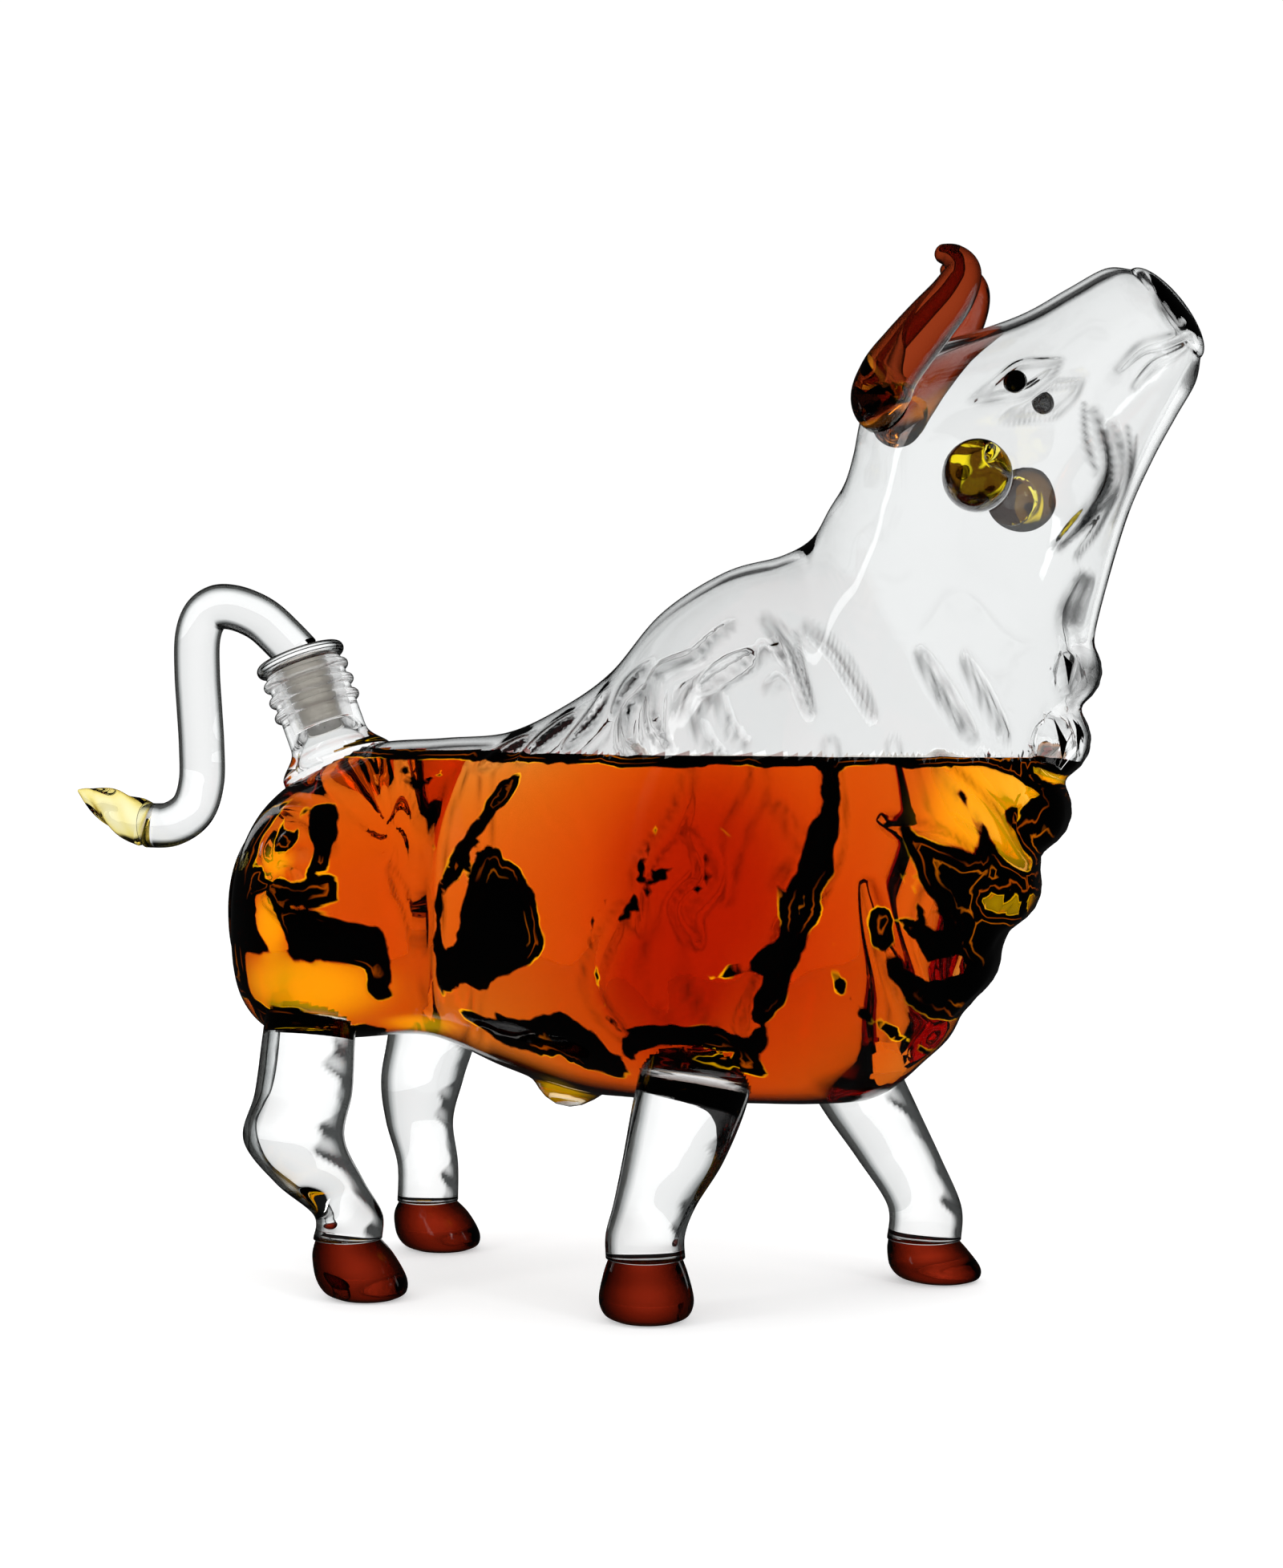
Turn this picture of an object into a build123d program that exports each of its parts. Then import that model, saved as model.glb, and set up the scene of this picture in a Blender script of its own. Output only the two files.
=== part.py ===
from math import cos, exp, pi, radians, sin
from typing import NamedTuple
import os

from build123d import *

# Figural decanter: a standing bull in blown glass, head raised, with a ground stopper in the rump
# whose handle is the tail. +X points to the head, +Z up, and the origin lies on the resting
# surface under the middle of the figure.

# Driving sizes in mm
figure_length = 300.0
figure_height = 257.0
body_width = 84.0
wall = 2.6
joint_gap = 0.12

neck_outer_d = 20.6
neck_tilt = 21.5
neck_length = 27.0
neck_root_d = 30.0
bead_d = 2.6
bead_pitch = 4.3
bead_first = 2.4
ground_mouth_d = 12.6
ground_length = 16.5
ground_clearance = 0.15
flange_d = 23.8
flange_thickness = 3.4
seat_gap = 0.3
tail_d = 12.0

hoof_front_near_height = 15.0
hoof_front_far_height = 10.5
hoof_rear_near_height = 14.5
hoof_rear_far_height = 13.0
hoof_length = 23.0
hoof_breadth = 20.5
sole_length = 15.0
sole_breadth = 14.0
toe_front_right = 0.3
toe_front_left = 4.0
toe_rear_right = 4.8
toe_rear_left = 4.0

eye_d = 5.6
eye_rise = 0.9
rump_depth = 4.5
muzzle_depth = 4.8

# Plain ratios: taper of a ground joint on its diameter, and how sections are sampled
ground_taper_share = 0.1
section_points = 16
half_points = section_points // 2
cap_turns = [25.0, 45.0, 62.0, 74.0, 83.0]


class Station(NamedTuple):
    """One ring of the blown body: where it meets the top line and the lower line of the figure."""

    top_x: float
    top_z: float
    low_x: float
    low_z: float
    half_width: float
    low_fullness: float
    narrowing: float


# Rings from rump to muzzle as shares of the figure length, the figure height and the body width
station_shares = [
    Station(-0.311, 0.450, -0.310, 0.290, 0.240, 2.4, 0.02),
    Station(-0.291, 0.483, -0.294, 0.258, 0.345, 3.0, 0.05),
    Station(-0.256, 0.511, -0.258, 0.241, 0.420, 3.6, 0.08),
    Station(-0.207, 0.535, -0.207, 0.242, 0.440, 3.6, 0.10),
    Station(-0.140, 0.541, -0.140, 0.243, 0.400, 2.5, 0.10),
    Station(-0.080, 0.547, -0.073, 0.212, 0.395, 2.1, 0.10),
    Station(-0.027, 0.574, -0.013, 0.194, 0.435, 2.2, 0.14),
    Station(0.017, 0.609, 0.040, 0.192, 0.480, 2.5, 0.20),
    Station(0.060, 0.665, 0.093, 0.192, 0.500, 2.6, 0.24),
    Station(0.113, 0.702, 0.147, 0.192, 0.495, 2.6, 0.26),
    Station(0.160, 0.716, 0.200, 0.193, 0.475, 2.4, 0.24),
    Station(0.187, 0.733, 0.241, 0.200, 0.445, 2.2, 0.18),
    Station(0.203, 0.763, 0.277, 0.234, 0.410, 2.0, 0.12),
    Station(0.215, 0.786, 0.315, 0.296, 0.375, 2.0, 0.06),
    Station(0.222, 0.813, 0.349, 0.370, 0.340, 2.0, 0.00),
    Station(0.227, 0.844, 0.376, 0.447, 0.310, 2.0, -0.05),
    Station(0.236, 0.877, 0.395, 0.529, 0.285, 2.0, -0.08),
    Station(0.257, 0.899, 0.408, 0.603, 0.270, 2.0, -0.10),
    Station(0.287, 0.912, 0.421, 0.669, 0.262, 2.0, -0.10),
    Station(0.323, 0.922, 0.440, 0.745, 0.248, 2.0, -0.08),
    Station(0.360, 0.936, 0.459, 0.796, 0.218, 2.1, -0.04),
    Station(0.393, 0.956, 0.477, 0.835, 0.190, 2.2, 0.00),
    Station(0.423, 0.973, 0.492, 0.866, 0.172, 2.3, 0.02),
    Station(0.443, 0.971, 0.496, 0.889, 0.146, 2.3, 0.02),
]


class Swelling(NamedTuple):
    """A soft rise or hollow on both flanks: centre and reach on the side view, and its height."""

    x: float
    z: float
    reach_x: float
    reach_z: float
    rise: float


# Haunch, shoulder, flank hollow, hollow behind the jaw, cheek: shares of length, height and width
swelling_shares = [
    Swelling(-0.225, 0.340, 0.055, 0.120, 0.050),
    Swelling(0.115, 0.330, 0.060, 0.130, 0.040),
    Swelling(-0.135, 0.400, 0.035, 0.150, -0.035),
    Swelling(0.315, 0.690, 0.035, 0.060, -0.022),
    Swelling(0.375, 0.800, 0.030, 0.035, 0.016),
]


class Round(NamedTuple):
    """One round of a drawn glass limb: its centre in the figure and its diameter."""

    x: float
    y: float
    z: float
    d: float


# Legs as shares of length, body width, height and body width, from inside the body to the hoof
leg_front_right_shares = [
    Round(0.122, -0.268, 0.320, 0.300),
    Round(0.119, -0.337, 0.262, 0.321),
    Round(0.112, -0.375, 0.205, 0.326),
    Round(0.099, -0.390, 0.150, 0.289),
    Round(0.084, -0.392, 0.108, 0.238),
    Round(0.076, -0.392, 0.080, 0.227),
]
leg_front_left_shares = [
    Round(0.163, 0.268, 0.320, 0.300),
    Round(0.184, 0.337, 0.232, 0.317),
    Round(0.209, 0.375, 0.170, 0.296),
    Round(0.234, 0.390, 0.120, 0.259),
    Round(0.256, 0.392, 0.074, 0.226),
]
leg_rear_right_shares = [
    Round(-0.224, -0.289, 0.320, 0.270),
    Round(-0.222, -0.362, 0.250, 0.276),
    Round(-0.226, -0.369, 0.196, 0.290),
    Round(-0.235, -0.369, 0.150, 0.300),
    Round(-0.212, -0.369, 0.110, 0.262),
    Round(-0.186, -0.369, 0.080, 0.204),
]
leg_rear_left_shares = [
    Round(-0.190, 0.289, 0.320, 0.281),
    Round(-0.194, 0.362, 0.240, 0.291),
    Round(-0.206, 0.369, 0.180, 0.268),
    Round(-0.209, 0.369, 0.135, 0.219),
    Round(-0.201, 0.369, 0.090, 0.197),
]

# Each hoof: rings from the leg down to the sole, as shares of the hoof height, of the way from the
# end of the leg to the toe, and of the full girth between the sole and the widest ring
hoof_ring_shares = [
    (0.72, 0.30, 0.70),
    (0.34, 0.75, 1.00),
    (0.10, 1.00, 0.72),
    (0.00, 1.10, 0.00),
]

# Right horn as shares of length, body width, height and body width, from root to tip
horn_shares = [
    Round(0.265, -0.090, 0.838, 0.120),
    Round(0.254, -0.179, 0.851, 0.172),
    Round(0.262, -0.232, 0.873, 0.166),
    Round(0.277, -0.226, 0.897, 0.156),
    Round(0.294, -0.206, 0.922, 0.146),
    Round(0.310, -0.185, 0.946, 0.130),
    Round(0.3170, -0.160, 0.9680, 0.106),
    Round(0.3090, -0.140, 0.9835, 0.076),
    Round(0.2935, -0.121, 0.9905, 0.044),
]
left_horn_back_share = 0.010

# Centre line of the tail handle after it leaves the flange, as shares of length and height
tail_shares = [
    (-0.2930, 0.6415),
    (-0.3102, 0.6590),
    (-0.3256, 0.6690),
    (-0.3433, 0.6755),
    (-0.3590, 0.6755),
    (-0.3715, 0.6650),
    (-0.3780, 0.6430),
    (-0.3783, 0.6072),
    (-0.3762, 0.5700),
    (-0.3742, 0.5323),
    (-0.3745, 0.4950),
    (-0.3835, 0.4665),
    (-0.4045, 0.4510),
    (-0.4287, 0.4494),
]
tail_start_tilt = 48.0
tail_end_tilt = 75.0

# Tuft: centre of each ring, and its height and breadth as shares of the tail diameter
tuft_shares = [
    (-0.4450, 0.4575, 1.04, 0.95),
    (-0.4615, 0.4665, 0.92, 0.80),
    (-0.4770, 0.4745, 0.66, 0.54),
    (-0.4895, 0.4808, 0.36, 0.30),
]
tuft_tip_shares = (-0.4988, 0.4855)
tuft_tilt = 65.0

# Curls on the chest and throat: centre and radius as shares of length, height and length
curl_shares = [
    (0.392, 0.603, 0.0267),
    (0.380, 0.539, 0.0300),
    (0.363, 0.473, 0.0317),
    (0.337, 0.402, 0.0333),
    (0.305, 0.334, 0.0317),
    (0.270, 0.279, 0.0300),
]
curl_spread = 1.5
sheath_spread = 1.2
sheath_shares = (-0.024, 0.212, 0.0300)

# Ring at which the bubble of the barrel is fused to the bubble of the head
seam_index = 9

# Eye: the ring it sits on and the turn on that ring
eye_index = 19
eye_turn = 19.0

# Left ear from inside the head to its rim, and the round hollow in its cup
ear_shares = [
    Round(0.335, 0.210, 0.768, 0.110),
    Round(0.337, 0.290, 0.770, 0.160),
    Round(0.340, 0.370, 0.774, 0.192),
    Round(0.344, 0.440, 0.779, 0.170),
    Round(0.347, 0.485, 0.783, 0.100),
]
cup_shares = Round(0.366, 0.440, 0.790, 0.130)

# Bottle neck: mouth centre as shares of length and height, and where the neck starts to spread
mouth_shares = (-0.275, 0.613)
spread_start_share = 0.72
spread_bend_share = 0.88
neck_bend_d = 22.6
neck_seat_depth = 6.0
throat_d = 26.6
throat_depth = 9.0
edge_round = 0.8


def station_at(shares):
    """Turn the shares of a ring into sizes."""
    return Station(
        shares.top_x * figure_length,
        shares.top_z * figure_height,
        shares.low_x * figure_length,
        shares.low_z * figure_height,
        shares.half_width * body_width,
        shares.low_fullness,
        shares.narrowing,
    )


def blended(rings):
    """The rings of a table with one more ring placed smoothly between each two of them."""
    blend = [rings[0]]
    for index in range(len(rings) - 1):
        here, there = rings[index], rings[index + 1]
        before = rings[index - 1] if index else here
        after = rings[index + 2] if index + 2 < len(rings) else there
        between = [(9 * (a + b) - c - d) / 16 for a, b, c, d in zip(here, there, before, after)]
        blend += [type(here)(*between), there]
    return blend


def station_plane(station):
    """Plane of a ring: its local x runs across the figure and its local y towards the top line."""
    top = Vector(station.top_x, 0, station.top_z)
    low = Vector(station.low_x, 0, station.low_z)
    middle = (top + low) / 2
    rise = (top - low).normalized()
    across = Vector(0, 1, 0)
    return Plane(origin=middle, x_dir=across, z_dir=across.cross(rise))


def flank_rise(x, z):
    """Height of the haunch, shoulder and hollows at a place on the side view."""
    total = 0.0
    for swelling in swelling_shares:
        along = (x - swelling.x * figure_length) / (swelling.reach_x * figure_length)
        up = (z - swelling.z * figure_height) / (swelling.reach_z * figure_height)
        total += swelling.rise * body_width * exp(-along * along - up * up)
    return total


def ring_point(station, turn, grow):
    """Point of a ring at a turn in degrees from its right-hand side, grown outwards by grow."""
    side = cos(radians(turn))
    rise = sin(radians(turn))
    top = Vector(station.top_x, 0, station.top_z)
    low = Vector(station.low_x, 0, station.low_z)
    half = (top - low).length / 2
    power = 1.0 if rise >= 0 else 2 / station.low_fullness
    up = half * abs(rise) ** power
    out = station.half_width * abs(side) ** power * (1 - station.narrowing * rise)
    middle = (top + low) / 2
    level = middle + (top - low).normalized() * (up if rise >= 0 else -up)
    out += flank_rise(level.X, level.Z) * abs(side)
    out_sign = 1 if side >= 0 else -1
    up_sign = 1 if rise >= 0 else -1
    return (out_sign * out + grow * side, up_sign * up + grow * rise)


def ring_face(station, grow, shrink=1.0, shift=0.0):
    """Face of a ring in two halves that meet at the top and low lines, shifted along its axis."""
    plane = station_plane(station)
    points = []
    for turn in ring_turns:
        out, up = ring_point(station, turn, grow)
        points.append(plane.from_local_coords(Vector(out * shrink, up * shrink, shift)))
    steps = [step / half_points for step in range(half_points + 1)]
    low_run = (points[1] - points[-1]) * half_points / 2
    top_run = (points[half_points + 1] - points[half_points - 1]) * half_points / 2
    left_points = points[: half_points + 1]
    right_points = [*points[half_points:], points[0]]
    left = Edge.make_spline(left_points, [low_run, top_run], parameters=steps, scale=False)
    right = Edge.make_spline(right_points, [top_run, low_run], parameters=steps, scale=False)
    return Face(Wire([left, right]))


def rounded_end(station, grow, depth):
    """Faces that close the body roundly beyond a ring, down to a small flat at its end."""
    return [
        ring_face(station, grow, cos(radians(turn)), depth * sin(radians(turn))) for turn in cap_turns
    ]


def body_skin(grow, skip=0):
    """Blown body as one solid, grown or shrunk by grow, leaving out skip rings at each end."""
    rings = [station_at(shares) for shares in blended(station_shares)]
    rings = rings[skip : len(rings) - skip]
    rump_end = rounded_end(rings[0], grow, -rump_depth)
    muzzle_end = rounded_end(rings[-1], grow, muzzle_depth)
    with BuildPart() as skin:
        loft(sections=[*reversed(rump_end), *[ring_face(ring, grow) for ring in rings], *muzzle_end])
    return skin.part


ring_turns = [360.0 * step / section_points - 90.0 for step in range(section_points)]


def place(x_share, y_share, z_share):
    """Point of the figure from its shares of length, body width and height."""
    return Vector(x_share * figure_length, y_share * body_width, z_share * figure_height)


def tilted_plane(centre, tilt):
    """Plane across a line that leans back by tilt from straight up, in the middle plane."""
    lean = Vector(-sin(radians(tilt)), 0, cos(radians(tilt)))
    return Plane(origin=centre, x_dir=Vector(0, 1, 0), z_dir=lean)


def axis_plane(centre, tilt):
    """Plane holding a line that leans back by tilt: local y runs up that line."""
    out = Vector(cos(radians(tilt)), 0, sin(radians(tilt)))
    return Plane(origin=centre, x_dir=out, z_dir=Vector(0, -1, 0))


def rounded_roll(centre, radius, half_length):
    """Round-ended roll lying across the figure."""
    straight = half_length - radius
    with BuildPart() as roll:
        with BuildSketch(Plane.XY):
            with BuildLine():
                Line((-radius, straight), (-radius, -straight))
                CenterArc((0, -straight), radius, start_angle=180, arc_size=90)
                Line((0, -half_length), (0, half_length))
                CenterArc((0, straight), radius, start_angle=90, arc_size=90)
            make_face()
        revolve(axis=Axis.Y)
    return roll.part.moved(Location(centre))


def leg_solid(rounds, hoof_height):
    """Drawn glass leg from inside the body down to its hoof, with level rings."""
    foot = rounds[-1]
    with BuildPart() as leg:
        for ring in blended([*rounds, foot._replace(z=hoof_height / figure_height)]):
            with BuildSketch(Plane(origin=place(ring.x, ring.y, ring.z))):
                Circle(radius=ring.d * body_width / 2)
        loft()
    return leg.part


def hoof_solid(rounds, hoof_height, toe_reach):
    """Rounded hoof with a flat sole, starting from the end of its leg."""
    foot = rounds[-1]
    end = place(foot.x, foot.y, 0)
    with BuildPart() as hoof:
        with BuildSketch(Plane(origin=(end.X, end.Y, hoof_height))):
            Circle(radius=foot.d * body_width / 2)
        for height_share, reach_share, girth_share in hoof_ring_shares:
            reach = reach_share * toe_reach
            long_side = sole_length + girth_share * (hoof_length - sole_length)
            short_side = sole_breadth + girth_share * (hoof_breadth - sole_breadth)
            with BuildSketch(Plane(origin=(end.X + reach, end.Y, height_share * hoof_height))):
                Ellipse(x_radius=long_side / 2, y_radius=short_side / 2)
        loft()
    return hoof.part


# Blown body: outer skin, and the same skin a little larger to fit the pieces fused onto it
body_outer = body_skin(0.0)
body_fit = body_skin(joint_gap)
body_cavity = body_skin(-wall, 2)

mouth = place(mouth_shares[0], 0, mouth_shares[1])
neck_plane = axis_plane(mouth, neck_tilt)
neck_up = Vector(-sin(radians(neck_tilt)), 0, cos(radians(neck_tilt)))
neck_axis = Axis(mouth, neck_up)
ground_end_d = ground_mouth_d - ground_taper_share * ground_length

# Way in: the ground seat of the stopper and the throat below it
with BuildPart() as neck_bore:
    with BuildSketch(neck_plane):
        with BuildLine():
            Line((0, edge_round), (ground_mouth_d / 2, edge_round))
            Line((ground_mouth_d / 2, edge_round), (ground_mouth_d / 2, 0))
            Line((ground_mouth_d / 2, 0), (ground_end_d / 2, -ground_length))
            Line((ground_end_d / 2, -ground_length), (throat_d / 2, -neck_length - throat_depth))
            Line((throat_d / 2, -neck_length - throat_depth), (0, -neck_length - throat_depth))
            Line((0, -neck_length - throat_depth), (0, edge_round))
        make_face()
    revolve(axis=neck_axis)

# Bottle neck with three beads, fused onto the rump over the hole in the body
with BuildPart() as bottle_neck:
    with BuildSketch(neck_plane):
        with BuildLine():
            Line((0, 0), (neck_outer_d / 2, 0))
            Line((neck_outer_d / 2, 0), (neck_outer_d / 2, -spread_start_share * neck_length))
            Spline(
                (neck_outer_d / 2, -spread_start_share * neck_length),
                (neck_bend_d / 2, -spread_bend_share * neck_length),
                (neck_root_d / 2, -neck_length),
                tangents=[(0, -1), (1, -1)],
            )
            Line((neck_root_d / 2, -neck_length), (neck_root_d / 2, -neck_length - neck_seat_depth))
            Line((neck_root_d / 2, -neck_length - neck_seat_depth), (0, -neck_length - neck_seat_depth))
            Line((0, -neck_length - neck_seat_depth), (0, 0))
        make_face()
    revolve(axis=neck_axis)
    with BuildSketch(neck_plane):
        with Locations(*[(neck_outer_d / 2, -bead_first - bead_pitch * bead) for bead in range(3)]):
            Circle(radius=bead_d / 2)
    revolve(axis=neck_axis)
    add(neck_bore.part, mode=Mode.SUBTRACT)
    add(body_fit, mode=Mode.SUBTRACT)
bottle_neck.part.label = "bottle_neck"

# Eyes sit in round sockets in the wall of the head
eye_station = station_at(station_shares[eye_index])
eye_local = ring_point(eye_station, eye_turn, 0.0)
eye_left_centre = station_plane(eye_station).from_local_coords(Vector(*eye_local, 0))
eye_left_centre = eye_left_centre + Vector(0, eye_rise - eye_d / 4, 0)
eye_right_centre = Vector(eye_left_centre.X, -eye_left_centre.Y, eye_left_centre.Z)

with BuildPart() as blown_body:
    add(body_outer)
    for x_share, z_share, radius_share in curl_shares:
        curl = radius_share * figure_length
        add(rounded_roll(place(x_share, 0, z_share), curl, curl * curl_spread))
    sheath = sheath_shares[2] * figure_length
    add(rounded_roll(place(sheath_shares[0], 0, sheath_shares[1]), sheath, sheath * sheath_spread))
    add(body_cavity, mode=Mode.SUBTRACT)
    add(neck_bore.part, mode=Mode.SUBTRACT)
    with Locations(eye_left_centre, eye_right_centre):
        Sphere(radius=eye_d / 2 + joint_gap, mode=Mode.SUBTRACT)

seam_plane = station_plane(station_at(station_shares[seam_index]))


def beyond_seam(side):
    """Block that covers all beyond the seam: side is 1 towards the head, -1 towards the rump."""
    with BuildPart() as block:
        with BuildSketch(seam_plane.offset(-side * joint_gap / 2)):
            Rectangle(figure_length, 2 * figure_height)
        extrude(amount=side * figure_length)
    return block.part


with BuildPart() as barrel_shell:
    add(blown_body.part)
    add(beyond_seam(1), mode=Mode.SUBTRACT)
barrel_shell.part.label = "barrel_shell"

with BuildPart() as head_shell:
    add(blown_body.part)
    add(beyond_seam(-1), mode=Mode.SUBTRACT)
head_shell.part.label = "head_shell"

with BuildPart() as eye_right:
    with Locations(eye_right_centre):
        Sphere(radius=eye_d / 2)
eye_right.part.label = "eye_right"

with BuildPart() as eye_left:
    with Locations(eye_left_centre):
        Sphere(radius=eye_d / 2)
eye_left.part.label = "eye_left"


def horn_solid(side):
    """Drawn amber horn: rings along its bent line, closed by a round tip."""
    back = left_horn_back_share if side > 0 else 0
    rings = blended(horn_shares)
    centres = [place(ring.x - back, -side * ring.y, ring.z) for ring in rings]
    faces = []
    for index, ring in enumerate(rings):
        ahead = centres[min(index + 1, len(centres) - 1)]
        behind = centres[max(index - 1, 0)]
        with BuildSketch(Plane(origin=centres[index], x_dir=(1, 0, 0), z_dir=ahead - behind)) as cut:
            Circle(radius=ring.d * body_width / 2)
        faces.append(cut.sketch)
    run = (centres[-1] - centres[-2]).normalized()
    tip = centres[-1] + run * (rings[-1].d * body_width / 2)
    with BuildPart() as horn:
        loft(sections=[*faces, Vertex(*tip)])
        add(body_fit, mode=Mode.SUBTRACT)
    return horn.part


def ear_solid(side):
    """Short cupped ear, fused to the side of the head."""
    with BuildPart() as ear:
        for ring in blended(ear_shares):
            with BuildSketch(Plane(origin=place(ring.x, side * ring.y, ring.z), z_dir=(0, side, 0))):
                Circle(radius=ring.d * body_width / 2)
        loft()
        with Locations(place(cup_shares.x, side * cup_shares.y, cup_shares.z)):
            Sphere(radius=cup_shares.d * body_width / 2, mode=Mode.SUBTRACT)
        add(body_fit, mode=Mode.SUBTRACT)
    return ear.part


with BuildPart() as horn_right:
    add(horn_solid(-1))
horn_right.part.label = "horn_right"

with BuildPart() as horn_left:
    add(horn_solid(1))
horn_left.part.label = "horn_left"

with BuildPart() as ear_right:
    add(ear_solid(-1))
ear_right.part.label = "ear_right"

with BuildPart() as ear_left:
    add(ear_solid(1))
ear_left.part.label = "ear_left"

# Legs are shaped to the belly where they are fused on
with BuildPart() as leg_front_right:
    add(leg_solid(leg_front_right_shares, hoof_front_near_height))
    add(body_fit, mode=Mode.SUBTRACT)
leg_front_right.part.label = "leg_front_right"

with BuildPart() as leg_front_left:
    add(leg_solid(leg_front_left_shares, hoof_front_far_height))
    add(body_fit, mode=Mode.SUBTRACT)
leg_front_left.part.label = "leg_front_left"

with BuildPart() as leg_rear_right:
    add(leg_solid(leg_rear_right_shares, hoof_rear_near_height))
    add(body_fit, mode=Mode.SUBTRACT)
leg_rear_right.part.label = "leg_rear_right"

with BuildPart() as leg_rear_left:
    add(leg_solid(leg_rear_left_shares, hoof_rear_far_height))
    add(body_fit, mode=Mode.SUBTRACT)
leg_rear_left.part.label = "leg_rear_left"

with BuildPart() as hoof_front_right:
    add(hoof_solid(leg_front_right_shares, hoof_front_near_height, toe_front_right))
hoof_front_right.part.label = "hoof_front_right"

with BuildPart() as hoof_front_left:
    add(hoof_solid(leg_front_left_shares, hoof_front_far_height, toe_front_left))
hoof_front_left.part.label = "hoof_front_left"

with BuildPart() as hoof_rear_right:
    add(hoof_solid(leg_rear_right_shares, hoof_rear_near_height, toe_rear_right))
hoof_rear_right.part.label = "hoof_rear_right"

with BuildPart() as hoof_rear_left:
    add(hoof_solid(leg_rear_left_shares, hoof_rear_far_height, toe_rear_left))
hoof_rear_left.part.label = "hoof_rear_left"

# Ground stopper: a tapered plug under a round flange
plug_mouth_d = ground_mouth_d - 2 * ground_clearance
plug_length = ground_length - edge_round
plug_end_d = plug_mouth_d - ground_taper_share * plug_length
flange_top = seat_gap + flange_thickness
with BuildPart() as stopper_plug:
    with BuildSketch(neck_plane):
        with BuildLine():
            Polyline(
                (0, flange_top),
                (flange_d / 2, flange_top),
                (flange_d / 2, seat_gap),
                (plug_mouth_d / 2, seat_gap),
                (plug_mouth_d / 2, 0),
                (plug_end_d / 2, -plug_length),
                (0, -plug_length),
                (0, flange_top),
            )
        make_face()
    revolve(axis=neck_axis)
    rims = stopper_plug.edges().filter_by(GeomType.CIRCLE).sort_by(SortBy.RADIUS)[-2:]
    fillet(rims, radius=edge_round)
stopper_plug.part.label = "stopper_plug"

# Tail handle: one bent rod standing on the flange
tail_foot = mouth + neck_up * flange_top
tail_out = Vector(-sin(radians(tail_start_tilt)), 0, cos(radians(tail_start_tilt)))
tail_end_out = Vector(-sin(radians(tail_end_tilt)), 0, cos(radians(tail_end_tilt)))
tail_root = tail_foot - tail_out * tail_d / 2
tail_points = [place(x_share, 0, z_share) for x_share, z_share in tail_shares]
with BuildPart() as tail_rod:
    with BuildLine() as tail_line:
        Spline(tail_root, tail_foot, *tail_points, tangents=[tail_out, tail_end_out])
    with BuildSketch(tilted_plane(tail_root, tail_start_tilt)):
        Circle(radius=tail_d / 2)
    sweep(path=tail_line.line)
    with BuildSketch(tilted_plane(tail_foot, neck_tilt)):
        Circle(radius=flange_d / 2)
    extrude(amount=-flange_d / 2, mode=Mode.SUBTRACT)
tail_rod.part.label = "tail_rod"

with BuildPart() as tail_tuft:
    tuft_faces = []
    with BuildSketch(tilted_plane(tail_points[-1], tail_end_tilt)) as tuft_start:
        Circle(radius=tail_d / 2)
    tuft_faces.append(tuft_start.sketch)
    for x_share, z_share, high_share, broad_share in tuft_shares:
        with BuildSketch(tilted_plane(place(x_share, 0, z_share), tuft_tilt)) as tuft_ring:
            Ellipse(x_radius=broad_share * tail_d / 2, y_radius=high_share * tail_d / 2)
        tuft_faces.append(tuft_ring.sketch)
    tuft_tip = place(tuft_tip_shares[0], 0, tuft_tip_shares[1])
    loft(sections=[*tuft_faces, Vertex(*tuft_tip)])
tail_tuft.part.label = "tail_tuft"

os.makedirs("parts", exist_ok=True)
export_step(barrel_shell.part, "parts/barrel_shell.step")
export_step(head_shell.part, "parts/head_shell.step")
export_step(bottle_neck.part, "parts/bottle_neck.step")
export_step(eye_right.part, "parts/eye_right.step")
export_step(eye_left.part, "parts/eye_left.step")
export_step(horn_right.part, "parts/horn_right.step")
export_step(horn_left.part, "parts/horn_left.step")
export_step(ear_right.part, "parts/ear_right.step")
export_step(ear_left.part, "parts/ear_left.step")
export_step(leg_front_right.part, "parts/leg_front_right.step")
export_step(leg_front_left.part, "parts/leg_front_left.step")
export_step(leg_rear_right.part, "parts/leg_rear_right.step")
export_step(leg_rear_left.part, "parts/leg_rear_left.step")
export_step(hoof_front_right.part, "parts/hoof_front_right.step")
export_step(hoof_front_left.part, "parts/hoof_front_left.step")
export_step(hoof_rear_right.part, "parts/hoof_rear_right.step")
export_step(hoof_rear_left.part, "parts/hoof_rear_left.step")
export_step(stopper_plug.part, "parts/stopper_plug.step")
export_step(tail_rod.part, "parts/tail_rod.step")
export_step(tail_tuft.part, "parts/tail_tuft.step")
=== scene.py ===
"""Figural glass decanter: a standing bull of blown glass, part filled, on a pale studio floor."""

from __future__ import annotations

import logging
import math
from dataclasses import dataclass
from enum import Enum

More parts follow.
